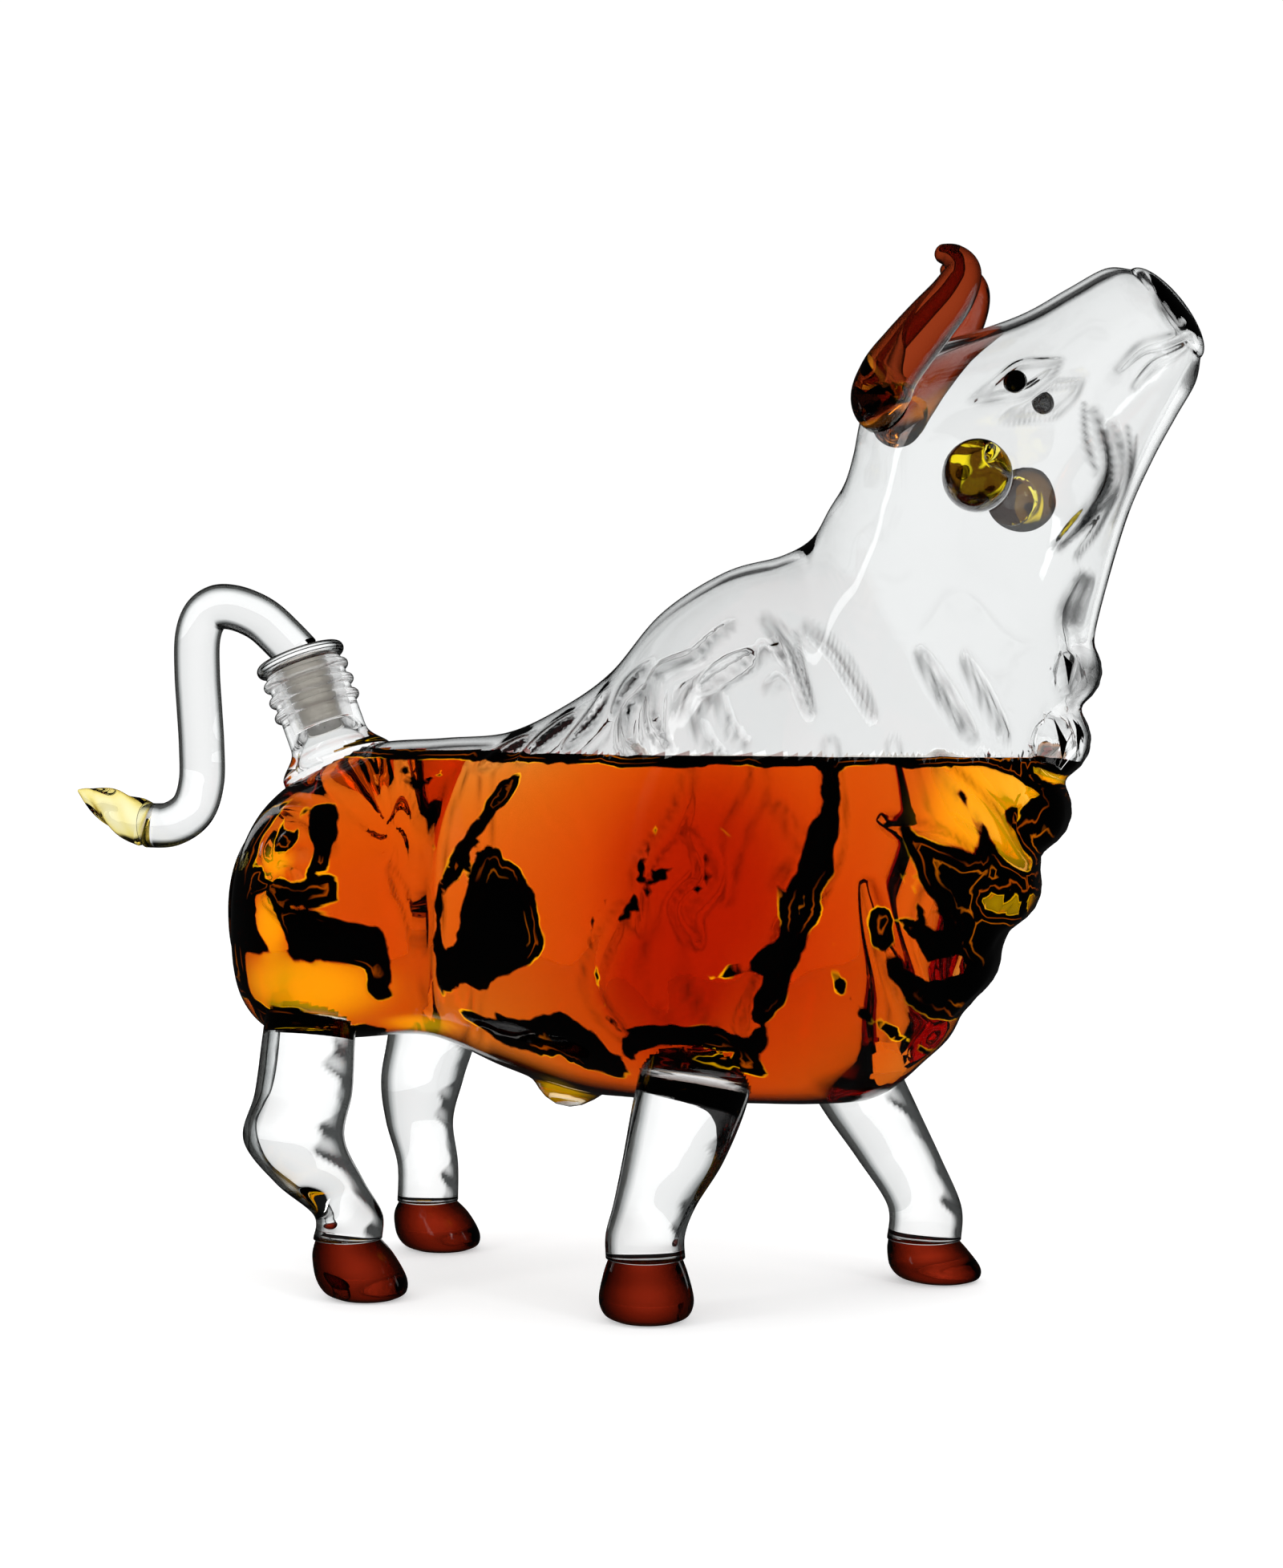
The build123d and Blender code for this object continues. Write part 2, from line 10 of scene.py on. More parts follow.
import bmesh
import bpy
import numpy as np
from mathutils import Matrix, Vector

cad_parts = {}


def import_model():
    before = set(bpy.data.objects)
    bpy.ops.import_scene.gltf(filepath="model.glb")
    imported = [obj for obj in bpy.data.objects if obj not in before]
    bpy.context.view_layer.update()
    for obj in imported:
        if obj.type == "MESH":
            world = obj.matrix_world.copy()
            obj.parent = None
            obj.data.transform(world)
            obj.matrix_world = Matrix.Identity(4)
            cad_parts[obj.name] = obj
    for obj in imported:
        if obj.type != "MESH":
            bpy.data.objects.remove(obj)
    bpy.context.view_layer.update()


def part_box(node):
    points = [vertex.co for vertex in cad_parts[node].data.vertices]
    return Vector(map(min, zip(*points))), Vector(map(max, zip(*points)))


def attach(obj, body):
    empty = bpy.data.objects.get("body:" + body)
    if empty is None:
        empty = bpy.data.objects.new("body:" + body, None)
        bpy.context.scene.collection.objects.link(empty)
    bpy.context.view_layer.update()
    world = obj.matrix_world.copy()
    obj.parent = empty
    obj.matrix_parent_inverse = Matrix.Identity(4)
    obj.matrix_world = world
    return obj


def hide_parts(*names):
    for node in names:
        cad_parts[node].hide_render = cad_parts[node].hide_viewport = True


log = logging.getLogger("decanter")

MM = 0.001
FIGURE_LENGTH = 300.0
FIGURE_HEIGHT = 257.0
BODY_WIDTH = 84.0
VESSEL = "vessel"
STOPPER = "stopper"
WHITE = (1.0, 1.0, 1.0, 1.0)
BLACK_CODE = "000000"
WHITE_CODE = "FFFFFF"
# A face less than this over the body, in mm, lies in the melted joint
JOINT_HEIGHT = 0.05

# A line on the side view as x and z in mm, and rows of four numbers
Line = tuple[tuple[float, float], ...]
Rows = tuple[tuple[float, float, float, float], ...]
# Colours along a value: position and sRGB hex
Stops = tuple[tuple[float, str], ...]
Socket = bpy.types.NodeSocket
# Values or output sockets for the inputs of a shader node, by name or number
Inputs = dict[str | int, object]


class Quality(Enum):
    QUICK = 0.5
    FULL = 1.0


class Side(Enum):
    """Which side of the bull a piece is on, as the sign of its Y."""

    RIGHT = -1.0
    LEFT = 1.0

    def of(self, kind: str) -> str:
        """Name of the node of a kind on this side."""
        return kind + "_" + self.name.lower()


# Small helpers for numbers and meshes


def srgb(code: str) -> tuple[float, float, float, float]:
    """Turn an sRGB hex colour into linear red, green and blue with an alpha of 1."""
    parts = [int(code[k : k + 2], 16) / 255.0 for k in (0, 2, 4)]
    linear = [p / 12.92 if p <= 0.04045 else ((p + 0.055) / 1.055) ** 2.4 for p in parts]
    return (linear[0], linear[1], linear[2], 1.0)


def smooth_rows(table: np.ndarray, samples: int) -> np.ndarray:
    """Join the rows of a table by a curve that runs through each of them.

    Each stretch is a cubic whose slope at a row is half the step between that row's neighbours.

    Args:
        table: Rows of numbers.
        samples: How many rows the result has.

    Returns:
        The rows along the curve.
    """
    rows = np.vstack([table[:1], table, table[-1:]])
    at = np.linspace(0.0, len(table) - 1.0, samples)
    first = np.minimum(at.astype(int), len(table) - 2)
    t = (at - first)[:, None]
    a, b, c, d = (rows[first + k] for k in range(4))
    return 0.5 * (2 * b + (c - a) * t + (2 * a - 5 * b + 4 * c - d) * t**2 + (3 * b - a - 3 * c + d) * t**3)


def unit(vectors: np.ndarray) -> np.ndarray:
    """Vectors of the same directions and a length of 1."""
    return vectors / np.maximum(np.linalg.norm(vectors, axis=-1, keepdims=True), 1e-12)


def full_turn(count: int) -> np.ndarray:
    """Even angles all the way round, in radians."""
    return np.linspace(0.0, 2.0 * math.pi, count, endpoint=False)


def smooth_step(low: float, high: float, values: np.ndarray) -> np.ndarray:
    """Rise softly from 0 at low to 1 at high."""
    t = np.clip((values - low) / (high - low), 0.0, 1.0)
    return t * t * (3.0 - 2.0 * t)


def near_line(x: np.ndarray, z: np.ndarray, line: np.ndarray) -> tuple[np.ndarray, np.ndarray]:
    """Nearest place on the side view, for each point, of a line of several straight runs.

    Args:
        x: First coordinates of the points.
        z: Second coordinates of the points.
        line: Corners of the line, one a row.

    Returns:
        The distance to that place, and its share of the way along the line.
    """
    best, along = np.full(x.shape, 1e9), np.zeros(x.shape)
    for number, (start, end) in enumerate(zip(line[:-1], line[1:])):
        run = end - start
        share = np.clip(((x - start[0]) * run[0] + (z - start[1]) * run[1]) / max(run @ run, 1e-9), 0.0, 1.0)
        gap = np.hypot(x - start[0] - share * run[0], z - start[1] - share * run[1])
        along = np.where(gap < best, (number + share) / (len(line) - 1), along)
        best = np.minimum(best, gap)
    return best, along


def depth_inside(x: np.ndarray, z: np.ndarray, outline: Line) -> np.ndarray:
    """Distance on the side view to a closed outline: above zero inside it, below zero outside.

    Args:
        x: First coordinates of the points.
        z: Second coordinates of the points.
        outline: Corners of the outline in mm.

    Returns:
        One distance a point, in mm.
    """
    corners = np.array(outline)
    gap, _ = near_line(x, z, np.vstack([corners, corners[:1]]))
    inside = np.zeros(x.shape, dtype=bool)
    for (x0, z0), (x1, z1) in zip(corners, np.roll(corners, -1, axis=0)):
        crosses = (z0 > z) != (z1 > z)
        reach = x0 + (z - z0) * (x1 - x0) / (z1 - z0 if abs(z1 - z0) > 1e-9 else 1e-9)
        inside ^= crosses & (x < reach)
    return np.where(inside, gap, -gap)


def inside_out(points: np.ndarray, quads: np.ndarray, fans: np.ndarray | None = None) -> bool:
    """Whether the faces of a closed surface look inwards, from the sign of the volume in them.

    Args:
        points: Points, one a row.
        quads: Point numbers of its four-sided faces.
        fans: Point numbers of its three-sided faces.

    Returns:
        True where they look inwards.
    """
    split = [quads[:, [0, 1, 2]], quads[:, [0, 2, 3]]] + ([] if fans is None else [fans])
    triangles = np.vstack(split)
    a, b, c = (points[triangles[:, k]] for k in range(3))
    return bool(np.einsum("ij,ij->", a, np.cross(b, c)) < 0)


@dataclass
class Skin:
    """A closed surface: rings of points from a start pole to an end pole, in mm."""

    rings: np.ndarray
    start: np.ndarray
    end: np.ndarray

    @property
    def points(self) -> np.ndarray:
        """All points, the two poles last."""
        return np.vstack([self.rings.reshape(-1, 3), self.start[None], self.end[None]])

    def faces(self) -> tuple[np.ndarray, np.ndarray]:
        """Four-sided faces between the rings and three-sided faces at the poles, facing outwards."""
        rows, columns = self.rings.shape[:2]
        index = np.arange(rows * columns).reshape(rows, columns)
        across = np.roll(index, -1, axis=1)
        quads = np.stack([index[:-1], across[:-1], across[1:], index[1:]], axis=-1).reshape(-1, 4)
        start = np.full(columns, rows * columns)
        fan_start = np.stack([start, across[0], index[0]], axis=-1)
        fan_end = np.stack([start + 1, index[-1], across[-1]], axis=-1)
        fans = np.vstack([fan_start, fan_end])
        if inside_out(self.points, quads, fans):
            return quads[:, ::-1], fans[:, ::-1]
        return quads, fans

    def normals(self) -> np.ndarray:
        """Outward directions at the ring points, from the steps to the neighbouring points."""
        along = np.gradient(self.rings, axis=0)
        around = np.roll(self.rings, -1, axis=1) - np.roll(self.rings, 1, axis=1)
        out = unit(np.cross(along, around))
        middle = self.rings.mean(axis=1, keepdims=True)
        flip = np.sign(np.einsum("ijk,ijk->", out, self.rings - middle))
        return out * flip

    def quad_centres(self) -> np.ndarray:
        """Middle of each four-sided face, in the order of the faces."""
        rings = self.rings
        across = np.roll(rings, -1, axis=1)
        return ((rings[:-1] + across[:-1] + across[1:] + rings[1:]) / 4.0).reshape(-1, 3)

    def with_rings(self, rings: np.ndarray) -> Skin:
        """The same skin with other rings between its poles."""
        return Skin(rings, self.start, self.end)

    def fused_to(self, body: Skin) -> np.ndarray:
        """Finish number of each four-sided face: 1 in the joint with the body, 0 outside."""
        return np.where(height_over(self.quad_centres(), body) < JOINT_HEIGHT, 1, 0)


@dataclass
class Patch:
    """One closed skin of a piece, with the finish of each face and whether it bounds a hollow."""

    skin: Skin
    quad_finish: np.ndarray | int = 0
    fan_finish: int = 0
    hollow: bool = False


def add_object(name: str, data: bpy.types.ID) -> bpy.types.Object:
    """Link a mesh, a lamp or a camera into the scene."""
    made = bpy.data.objects.new(name, data)
    bpy.context.scene.collection.objects.link(made)
    return made


def add_mesh(
    name: str,
    points: np.ndarray,
    faces: list[list[int]],
    finishes: list[bpy.types.Material],
    numbers: np.ndarray,
) -> bpy.types.Object:
    """Put points and faces into a smooth-shaded object.

    Args:
        name: Name of the piece.
        points: Points in mm, one a row.
        faces: Point numbers of each face.
        finishes: Materials that the face numbers count into.
        numbers: Number of the finish of each face.

    Returns:
        The linked object.
    """
    mesh = bpy.data.meshes.new(name)
    mesh.from_pydata((points * MM).tolist(), [], faces)
    for finish in finishes:
        mesh.materials.append(finish)
    mesh.polygons.foreach_set("material_index", numbers.astype(np.int32))
    mesh.polygons.foreach_set("use_smooth", np.ones(len(mesh.polygons), dtype=bool))
    mesh.update()
    return add_object(name, mesh)


def add_field(mesh: bpy.types.Mesh, name: str, values: np.ndarray) -> None:
    """Store one number a point on a mesh, which its material reads by name."""
    mesh.attributes.new(name, "FLOAT", "POINT").data.foreach_set("value", values.astype(np.float32))


def make_piece(
    name: str,
    patches: list[Patch],
    finishes: list[bpy.types.Material],
    body: str,
    nodes: tuple[str, ...] = (),
    field: tuple[str, np.ndarray] | None = None,
) -> None:
    """Put the skins of one piece into a mesh and tie it to the frame.

    Args:
        name: Name of the piece.
        patches: Its closed skins.
        finishes: Materials that the face numbers count into.
        body: Body of the frame that it rides on.
        nodes: Nodes of the frame that it stands for.
        field: Name and values of a field on its points, the first skin's first.
    """
    points: list[np.ndarray] = []
    faces: list[list[int]] = []
    numbers: list[np.ndarray] = []
    offset = 0
    for patch in patches:
        quads, fans = patch.skin.faces()
        if patch.hollow:
            quads, fans = quads[:, ::-1], fans[:, ::-1]
        points.append(patch.skin.points)
        faces += (quads + offset).tolist() + (fans + offset).tolist()
        numbers.append(np.broadcast_to(np.asarray(patch.quad_finish), (len(quads),)))
        numbers.append(np.full(len(fans), patch.fan_finish))
        offset += len(patch.skin.points)
    piece = add_mesh(name, np.vstack(points), faces, finishes, np.concatenate(numbers))
    if field:
        values = np.zeros(offset)
        values[: field[1].size] = field[1].ravel()
        add_field(piece.data, field[0], values)
    tie(piece, body, nodes)


def tie(piece: bpy.types.Object, body: str, nodes: tuple[str, ...]) -> None:
    """Make a finished piece ride on a body and stand for its nodes, and log it."""
    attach(piece, body)
    if nodes:
        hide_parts(*nodes)
    log.info("%s: %d points on %s", piece.name, len(piece.data.vertices), body)


def height_over(points: np.ndarray, skin: Skin, step: int = 3, batch: int = 2000) -> np.ndarray:
    """How far points stand out of a skin, below zero inside, measured at the nearest skin point.

    Args:
        points: Points in mm, one a row.
        skin: The surface they are measured from.
        step: One skin point in this many is looked at, along and around.
        batch: About how many points are measured at a time.

    Returns:
        One height a point.
    """
    base = skin.rings[::step, ::step].reshape(-1, 3).astype(np.float32)
    out = skin.normals()[::step, ::step].reshape(-1, 3).astype(np.float32)
    heights = []
    for part in np.array_split(points.astype(np.float32), max(1, len(points) // batch)):
        gap = part[:, None] - base[None]
        near = np.argmin(np.einsum("ijk,ijk->ij", gap, gap), axis=1)
        heights.append(np.einsum("ij,ij->i", part - base[near], out[near]))
    return np.concatenate(heights)


# Materials


class Graph:
    """A node tree with short ways to add the kinds of node that the finishes share."""

    def __init__(self, tree: bpy.types.NodeTree) -> None:
        """Start from the emptied tree of a material or of the world."""
        tree.nodes.clear()
        self.tree = tree

    def add(self, kind: str, inputs: Inputs | None = None, **properties: object) -> bpy.types.Node:
        """Add one node.

        Args:
            kind: Blender's name for the node type, after the word ShaderNode.
            inputs: Values or output sockets for its inputs.
            **properties: Settings of the node itself.

        Returns:
            The new node.
        """
        made = self.tree.nodes.new("ShaderNode" + kind)
        for key, value in properties.items():
            setattr(made, key, value)
        for key, value in (inputs or {}).items():
            if isinstance(value, Socket):
                self.tree.links.new(value, made.inputs[key])
            else:
                made.inputs[key].default_value = value
        return made

    def place(self, kind: str = "Object") -> Socket:
        """Place on the piece."""
        return self.add("TexCoord").outputs[kind]

    def field(self, name: str) -> Socket:
        """Value of a field that the mesh carries."""
        return self.add("Attribute", attribute_name=name).outputs["Fac"]

    def noise(self, place: Socket, size: float, detail: float, distortion: float = 0.0) -> Socket:
        """Noise with blots of a size in mm."""
        inputs = {"Vector": place, "Scale": 1.0 / (size * MM), "Detail": detail, "Distortion": distortion}
        return self.add("TexNoise", inputs).outputs["Fac"]

    def bump(self, height: Socket, strength: float, depth: float) -> Socket:
        """Surface direction after a relief of a depth in mm."""
        return self.add("Bump", {"Height": height, "Strength": strength, "Distance": depth * MM}).outputs[0]

    def facing(self, normal: Socket | None = None) -> Socket:
        """How far the surface turns away from the eye, 0 to 1."""
        inputs = {"Blend": 0.5} if normal is None else {"Blend": 0.5, "Normal": normal}
        return self.add("LayerWeight", inputs).outputs["Facing"]

    def math(self, operation: str, *values: Socket | float, clamp: bool = False) -> Socket:
        """One step of arithmetic."""
        return self.add("Math", dict(enumerate(values)), operation=operation, use_clamp=clamp).outputs[0]

    def share(self, value: Socket, low: float, high: float, clamp: bool = True) -> Socket:
        """Share of the way from low to high."""
        inputs = {"Value": value, "From Min": low, "From Max": high}
        return self.add("MapRange", inputs, clamp=clamp).outputs[0]

    def mix(self, share: Socket | float, first: object, second: object, blend: str = "MIX") -> Socket:
        """Mix two colours by a share."""
        inputs = {0: share, 6: first, 7: second}
        return self.add("Mix", inputs, data_type="RGBA", blend_type=blend).outputs[2]

    def multiply(self, first: Socket, second: Socket) -> Socket:
        """One colour times another."""
        return self.mix(1.0, first, second, "MULTIPLY")

    def ramp(self, source: Socket, stops: Stops) -> Socket:
        """Colours along a value."""
        made = self.add("ValToRGB", {0: source})
        band = made.color_ramp
        while len(band.elements) < len(stops):
            band.elements.new(0.5)
        for element, (position, code) in zip(band.elements, stops):
            element.position = position
            element.color = srgb(code)
        return made.outputs[0]

    def mirrored(self) -> Socket:
        """1 for light that has only been mirrored, 0 for light that any glass has bent."""
        path = self.add("LightPath").outputs
        return self.math("SUBTRACT", path["Is Glossy Ray"], path["Is Transmission Ray"], clamp=True)


def new_material(name: str) -> tuple[bpy.types.Material, Graph]:
    """An empty node material and its graph."""
    material = bpy.data.materials.new(name)
    material.use_nodes = True
    return material, Graph(material.node_tree)


@dataclass(frozen=True)
class DrawnGlass:
    """Borosilicate glass, blown or drawn in the flame: no colour of its own, and painted shade at its edges.

    The eye sees the white room through it, and a painted dark line wherever the wall turns away.
    """

    name: str
    # Colours along how far the surface turns from the eye: painted shade that runs dark at the edges
    edge_stops: Stops
    ior: float = 1.47
    roughness: float = 0.0
    ripple_mm: float = 14.0
    ripple: float = 0.05
    # Whether the field fold_shade paints shade into the colour, and the colour of that painted shade
    fold_shaded: bool = False
    fold_shade_colour: str = "0E0F0F"
    root: str = ""
    swirl: Stops = ()
    swirl_x: float = 0.0
    # Half the breadth of the change of colour and the size of its curls in mm, and how far they reach
    swirl_reach: float = 9.0
    swirl_size: float = 10.0
    swirl_bend: float = 1.5
    swirl_twist: float = 2.2
    wave_detail: float = 2.0

    def build(self) -> bpy.types.Material:
        """Make the material: glass, its colour painted dark at the edges as shade, with faint waves of the
        flame.
        """
        material, graph = new_material(self.name)
        place = graph.place()
        normal = graph.bump(graph.noise(place, self.ripple_mm, self.wave_detail), self.ripple, 1.0)
        # Painted shade: the colour runs dark along the edge stops as the surface turns away
        colour = graph.ramp(graph.facing(normal), self.edge_stops)
        if self.swirl:
            colour = graph.multiply(colour, self.swirled(graph, place))
        # Painted shade of folds and edges, laid on by the field fold_shade
        if self.fold_shaded:
            colour = graph.mix(graph.field("fold_shade"), colour, srgb(self.fold_shade_colour))
        if self.root:
            colour = graph.mix(graph.field("root_shade"), colour, srgb(self.root))
        look = {"Base Color": colour, "Normal": normal, "Roughness": self.roughness, "IOR": self.ior}
        glass = graph.add("BsdfPrincipled", look | {"Transmission Weight": 1.0})
        graph.add("OutputMaterial", {"Surface": glass.outputs[0]})
        return material

    def swirled(self, graph: Graph, place: Socket) -> Socket:
        """Two colours of rod worked into each other, the first behind swirl_x and the second before it.

        Args:
            graph: Graph of the material.
            place: Place on the piece.

        Returns:
            The colour.
        """
        curl = graph.noise(place, self.swirl_size, 0.0, self.swirl_twist)
        x = graph.add("SeparateXYZ", {0: place}).outputs["X"]
        start, end = self.swirl_x - self.swirl_reach, self.swirl_x + self.swirl_reach
        across = graph.share(x, start * MM, end * MM, clamp=False)
        bend = graph.math("MULTIPLY_ADD", curl, self.swirl_bend, -self.swirl_bend / 2.0)
        return graph.ramp(graph.math("ADD", across, bend), self.swirl)


@dataclass(frozen=True)
class FusedJoint:
    """Glass melted into glass, or wetted by the drink: the eye sees no surface there at all."""

    name: str
    code: str = WHITE_CODE

    def build(self) -> bpy.types.Material:
        """Make the material: light goes straight through, tinted by the code."""
        material, graph = new_material(self.name)
        clear = graph.add("BsdfTransparent", {"Color": srgb(self.code)})
        graph.add("OutputMaterial", {"Surface": clear.outputs[0]})
        return material


@dataclass(frozen=True)
class Whisky:
    """Aged spirit behind glass: orange where it is deep, yellow where it is thin.

    Folds of the glass throw black pools with bright rims over it, painted as shade and glowing light,
    and its edge is a painted black line.
    """

    name: str = "aged_spirit"
    side_ior: float = 0.925
    top_ior: float = 1.36
    absorption: str = "F8CB00"
    density: float = 95.0
    # How far the edges of the pools wander, and the distance to them that the colours span, in mm
    wander: float = 7.0
    wander_size: float = 13.0
    wander_detail: float = 2.5
    wander_twist: float = 0.8
    span: float = 6.0
    # Painted shade: black inside the pools, white outside
    pool_stops: Stops = ((0.0, BLACK_CODE), (0.47, "030100"), (0.51, WHITE_CODE), (1.0, WHITE_CODE))
    # Painted shade: dark where the side turns away from the eye
    turned_stops: Stops = ((0.0, WHITE_CODE), (0.60, WHITE_CODE), (0.78, "5A3010"), (0.90, BLACK_CODE))
    # Painted shade: the drink darker and redder in its deepest spots
    red_shade_stops: Stops = ((0.0, WHITE_CODE), (1.0, "D88C70"))
    # Painted light in loops in and round a pool: place between its middle and its edge at 0.5, breadth,
    # colour
    loops: tuple[tuple[float, float, str], ...] = (
        (0.13, 0.03, "C86400"),
        (0.325, 0.025, "B04A00"),
        (0.495, 0.025, "F0B000"),
    )
    # The loops show in parts of this size in mm, where the noise is over the first of these
    loop_size: float = 19.0
    loop_shown: tuple[float, float] = (0.50, 0.62)
    # Painted light: thin drink glows gold from the pool's edge outwards
    gold_glow: str = "C09400"
    gold_start: tuple[float, float] = (0.49, 0.54)

    def build_side(self) -> bpy.types.Material:
        """Make the wetted finish: refraction from glass into spirit, pools of painted shade, rims of painted
        light.
        """
        material, graph = new_material(self.name + "_side")
        place = graph.place()
        wander = graph.noise(place, self.wander_size, self.wander_detail, self.wander_twist)
        centred = graph.math("SUBTRACT", wander, 0.5)
        shifted = graph.math("MULTIPLY_ADD", centred, self.wander, graph.field("pool_edge"))
        edge = graph.share(shifted, -self.span, self.span)
        # Painted shade: black pools, dark where the side turns away, darker red in the deepest spots
        tint = graph.ramp(edge, self.pool_stops)
        tint = graph.multiply(tint, graph.ramp(graph.facing(), self.turned_stops))
        tint = graph.multiply(tint, graph.ramp(graph.field("red_shade"), self.red_shade_stops))
        behind = graph.add("NewGeometry").outputs["Backfacing"]
        look = {"Roughness": 0.0, "IOR": self.side_ior, "Color": graph.mix(behind, tint, WHITE)}
        spirit = graph.add("BsdfGlass", look).outputs[0]
        both = graph.add("AddShader", {0: spirit, 1: self.rims(graph, edge, place, behind)})
        graph.add("OutputMaterial", {"Surface": both.outputs[0], "Volume": self.depth(graph)})
        return material

    def rims(self, graph: Graph, edge: Socket, place: Socket, behind: Socket) -> Socket:
        """Painted light, where folds would gather it: a bright rim round each pool and thin loops inside it.

        Args:
            graph: Graph of the material.
            edge: Distance to the pool edge, 0.5 on it.
            place: Place on the piece.
            behind: 1 on the far side of the surface.

        Returns:
            The emission shader of the painted light.
        """
        stops = [(0.0, BLACK_CODE)]
        for middle, breadth, code in self.loops:
            stops += [(middle - breadth, BLACK_CODE), (middle, code), (middle + breadth, BLACK_CODE)]
        shown = graph.share(graph.noise(place, self.loop_size, 1.0), *self.loop_shown)
        loops = graph.multiply(graph.ramp(edge, tuple(stops)), shown)
        # Painted light: a gold glow where the drink is thin, from the pool's edge outwards
        gold_glow_share = graph.math("MULTIPLY", graph.field("gold_glow"), graph.share(edge, *self.gold_start))
        colour = graph.mix(gold_glow_share, loops, srgb(self.gold_glow))
        front = graph.math("SUBTRACT", 1.0, behind)
        return graph.add("Emission", {"Color": colour, "Strength": front}).outputs[0]

    def build_top(self) -> bpy.types.Material:
        """Make the finish of the open surface: air above, spirit below."""
        material, graph = new_material(self.name + "_top")
        look = {"Roughness": 0.0, "IOR": self.top_ior, "Color": srgb("F4F0EA")}
        spirit = graph.add("BsdfGlass", look).outputs[0]
        graph.add("OutputMaterial", {"Surface": spirit, "Volume": self.depth(graph)})
        return material

    def depth(self, graph: Graph) -> Socket:
        """The shader that lets the spirit take up light with depth."""
        look = {"Color": srgb(self.absorption), "Density": self.density}
        return graph.add("VolumeAbsorption", look).outputs[0]


@dataclass(frozen=True)
class StudioFloor:
    """Matt white studio paper, lit so that only the contact shadows stay grey.

    What the glass mirrors of it is dark, as the room of the photograph was.
    """

    name: str = "studio_paper"
    paper: str = "E6E6E6"
    roughness: float = 0.9
    glow: float = 0.42
    dark: str = "303030"
    dark_glow: float = 0.4
    # Size of the tooth and its depth in mm, and how strongly it shows
    tooth_mm: float = 3.0
    tooth_depth: float = 0.2
    tooth: float = 0.02

    def build(self) -> bpy.types.Material:
        """Make the material: white paper with a little glow of its own and a fine tooth."""
        material, graph = new_material(self.name)
        normal = graph.bump(graph.noise(graph.place(), self.tooth_mm, 2.0), self.tooth, self.tooth_depth)
        look = {"Base Color": srgb(self.paper), "Roughness": self.roughness, "Normal": normal}
        light = {"Emission Color": WHITE, "Emission Strength": self.glow}
        paper = graph.add("BsdfPrincipled", look | light).outputs[0]
        mirrored = graph.mirrored()
        shaded = graph.add("Emission", {"Color": srgb(self.dark), "Strength": self.dark_glow}).outputs[0]
        both = graph.add("MixShader", {0: mirrored, 1: paper, 2: shaded})
        graph.add("OutputMaterial", {"Surface": both.outputs[0]})
        return material


class Finishes:
    """All materials of the decanter, made once and shared by its pieces."""

    def __init__(self) -> None:
        """Build each finish."""
        # Every list of edge stops paints shade: the colour runs dark as the surface turns away from the eye
        rod_edges = ((0.0, "F4F5F5"), (0.26, "E2E4E4"), (0.38, "7E8282"), (0.48, "161716"), (0.8, "020202"))
        self.wall = DrawnGlass(
            "blown_borosilicate",
            ((0.0, "F4F5F5"), (0.62, "ECEEEE"), (0.76, "9CA0A0"), (0.86, "080808")),
            fold_shaded=True,
        ).build()
        self.inner_wall = DrawnGlass(
            "blown_borosilicate_inside",
            ((0.0, "FAFBFB"), (0.80, "F0F1F1"), (0.97, "707272"), (1.0, "404040")),
            ripple=0.03,
        ).build()
        self.rod = DrawnGlass("drawn_borosilicate_rod", rod_edges).build()
        self.leg = DrawnGlass("worked_borosilicate_rod", rod_edges, fold_shaded=True, ripple=0.12).build()
        self.horn = DrawnGlass(
            "iron_amber_rod",
            ((0.0, "96391A"), (0.22, "7E2A10"), (0.48, "3C1004"), (0.75, "080100")),
            ripple=0.1,
            root="E8CC18",
        ).build()
        self.hoof = DrawnGlass(
            "iron_amber_block",
            ((0.0, "8A2410"), (0.10, "661607"), (0.24, "3C0A03"), (0.42, "140301"), (0.60, "040100")),
            ripple=0.3,
        ).build()
        self.ear = DrawnGlass(
            "honey_amber_rod",
            ((0.0, WHITE_CODE), (0.55, "F4E8C8"), (0.70, "30160A"), (0.80, "040100")),
            ripple=0.1,
            ripple_mm=7.0,
            swirl=((0.0, "1E0A02"), (0.42, "1E0A02"), (0.50, "F4DE24"), (1.0, "F4DE24")),
            swirl_x=102.0,
        ).build()
        self.tuft = DrawnGlass(
            "pale_yellow_rod",
            ((0.0, "F4F0C8"), (0.40, "E8D468"), (0.65, "A07C14"), (0.90, "0C0800")),
            ripple=0.15,
            ripple_mm=8.0,
        ).build()
        self.eye = DrawnGlass("black_glass_bead", ((0.0, "020202"), (1.0, BLACK_CODE)), ior=1.5).build()
        self.ground = DrawnGlass(
            "ground_borosilicate",
            ((0.0, "DAD7D1"), (0.45, "C4C0B8"), (0.75, "8E8880"), (0.95, "2E2B28")),
            roughness=0.34,
            ripple_mm=3.0,
            ripple=0.25,
        ).build()
        self.joint = FusedJoint("fused_joint").build()
        self.horn_joint = FusedJoint("fused_joint_of_horn", "F0D24A").build()
        whisky = Whisky()
        self.drink_side, self.drink_top = whisky.build_side(), whisky.build_top()
        self.floor = StudioFloor().build()


# The blown body


@dataclass(frozen=True)
class Ridge:
    """A raised or sunk line of the relief on both flanks: its run on the side view, in mm."""

    run: Line
    height: float
    reach: float

    def nearness(self, x: np.ndarray, z: np.ndarray) -> tuple[np.ndarray, np.ndarray]:
        """Distance to the run in local reaches, and fullness: both taper to the run's ends."""
        gap, along = near_line(x, z, smooth_rows(np.array(self.run), 4 * len(self.run)))
        full = 0.30 + 0.70 * np.sin(math.pi * (0.08 + 0.84 * along)) ** 0.8
        return gap / (self.reach * full), full


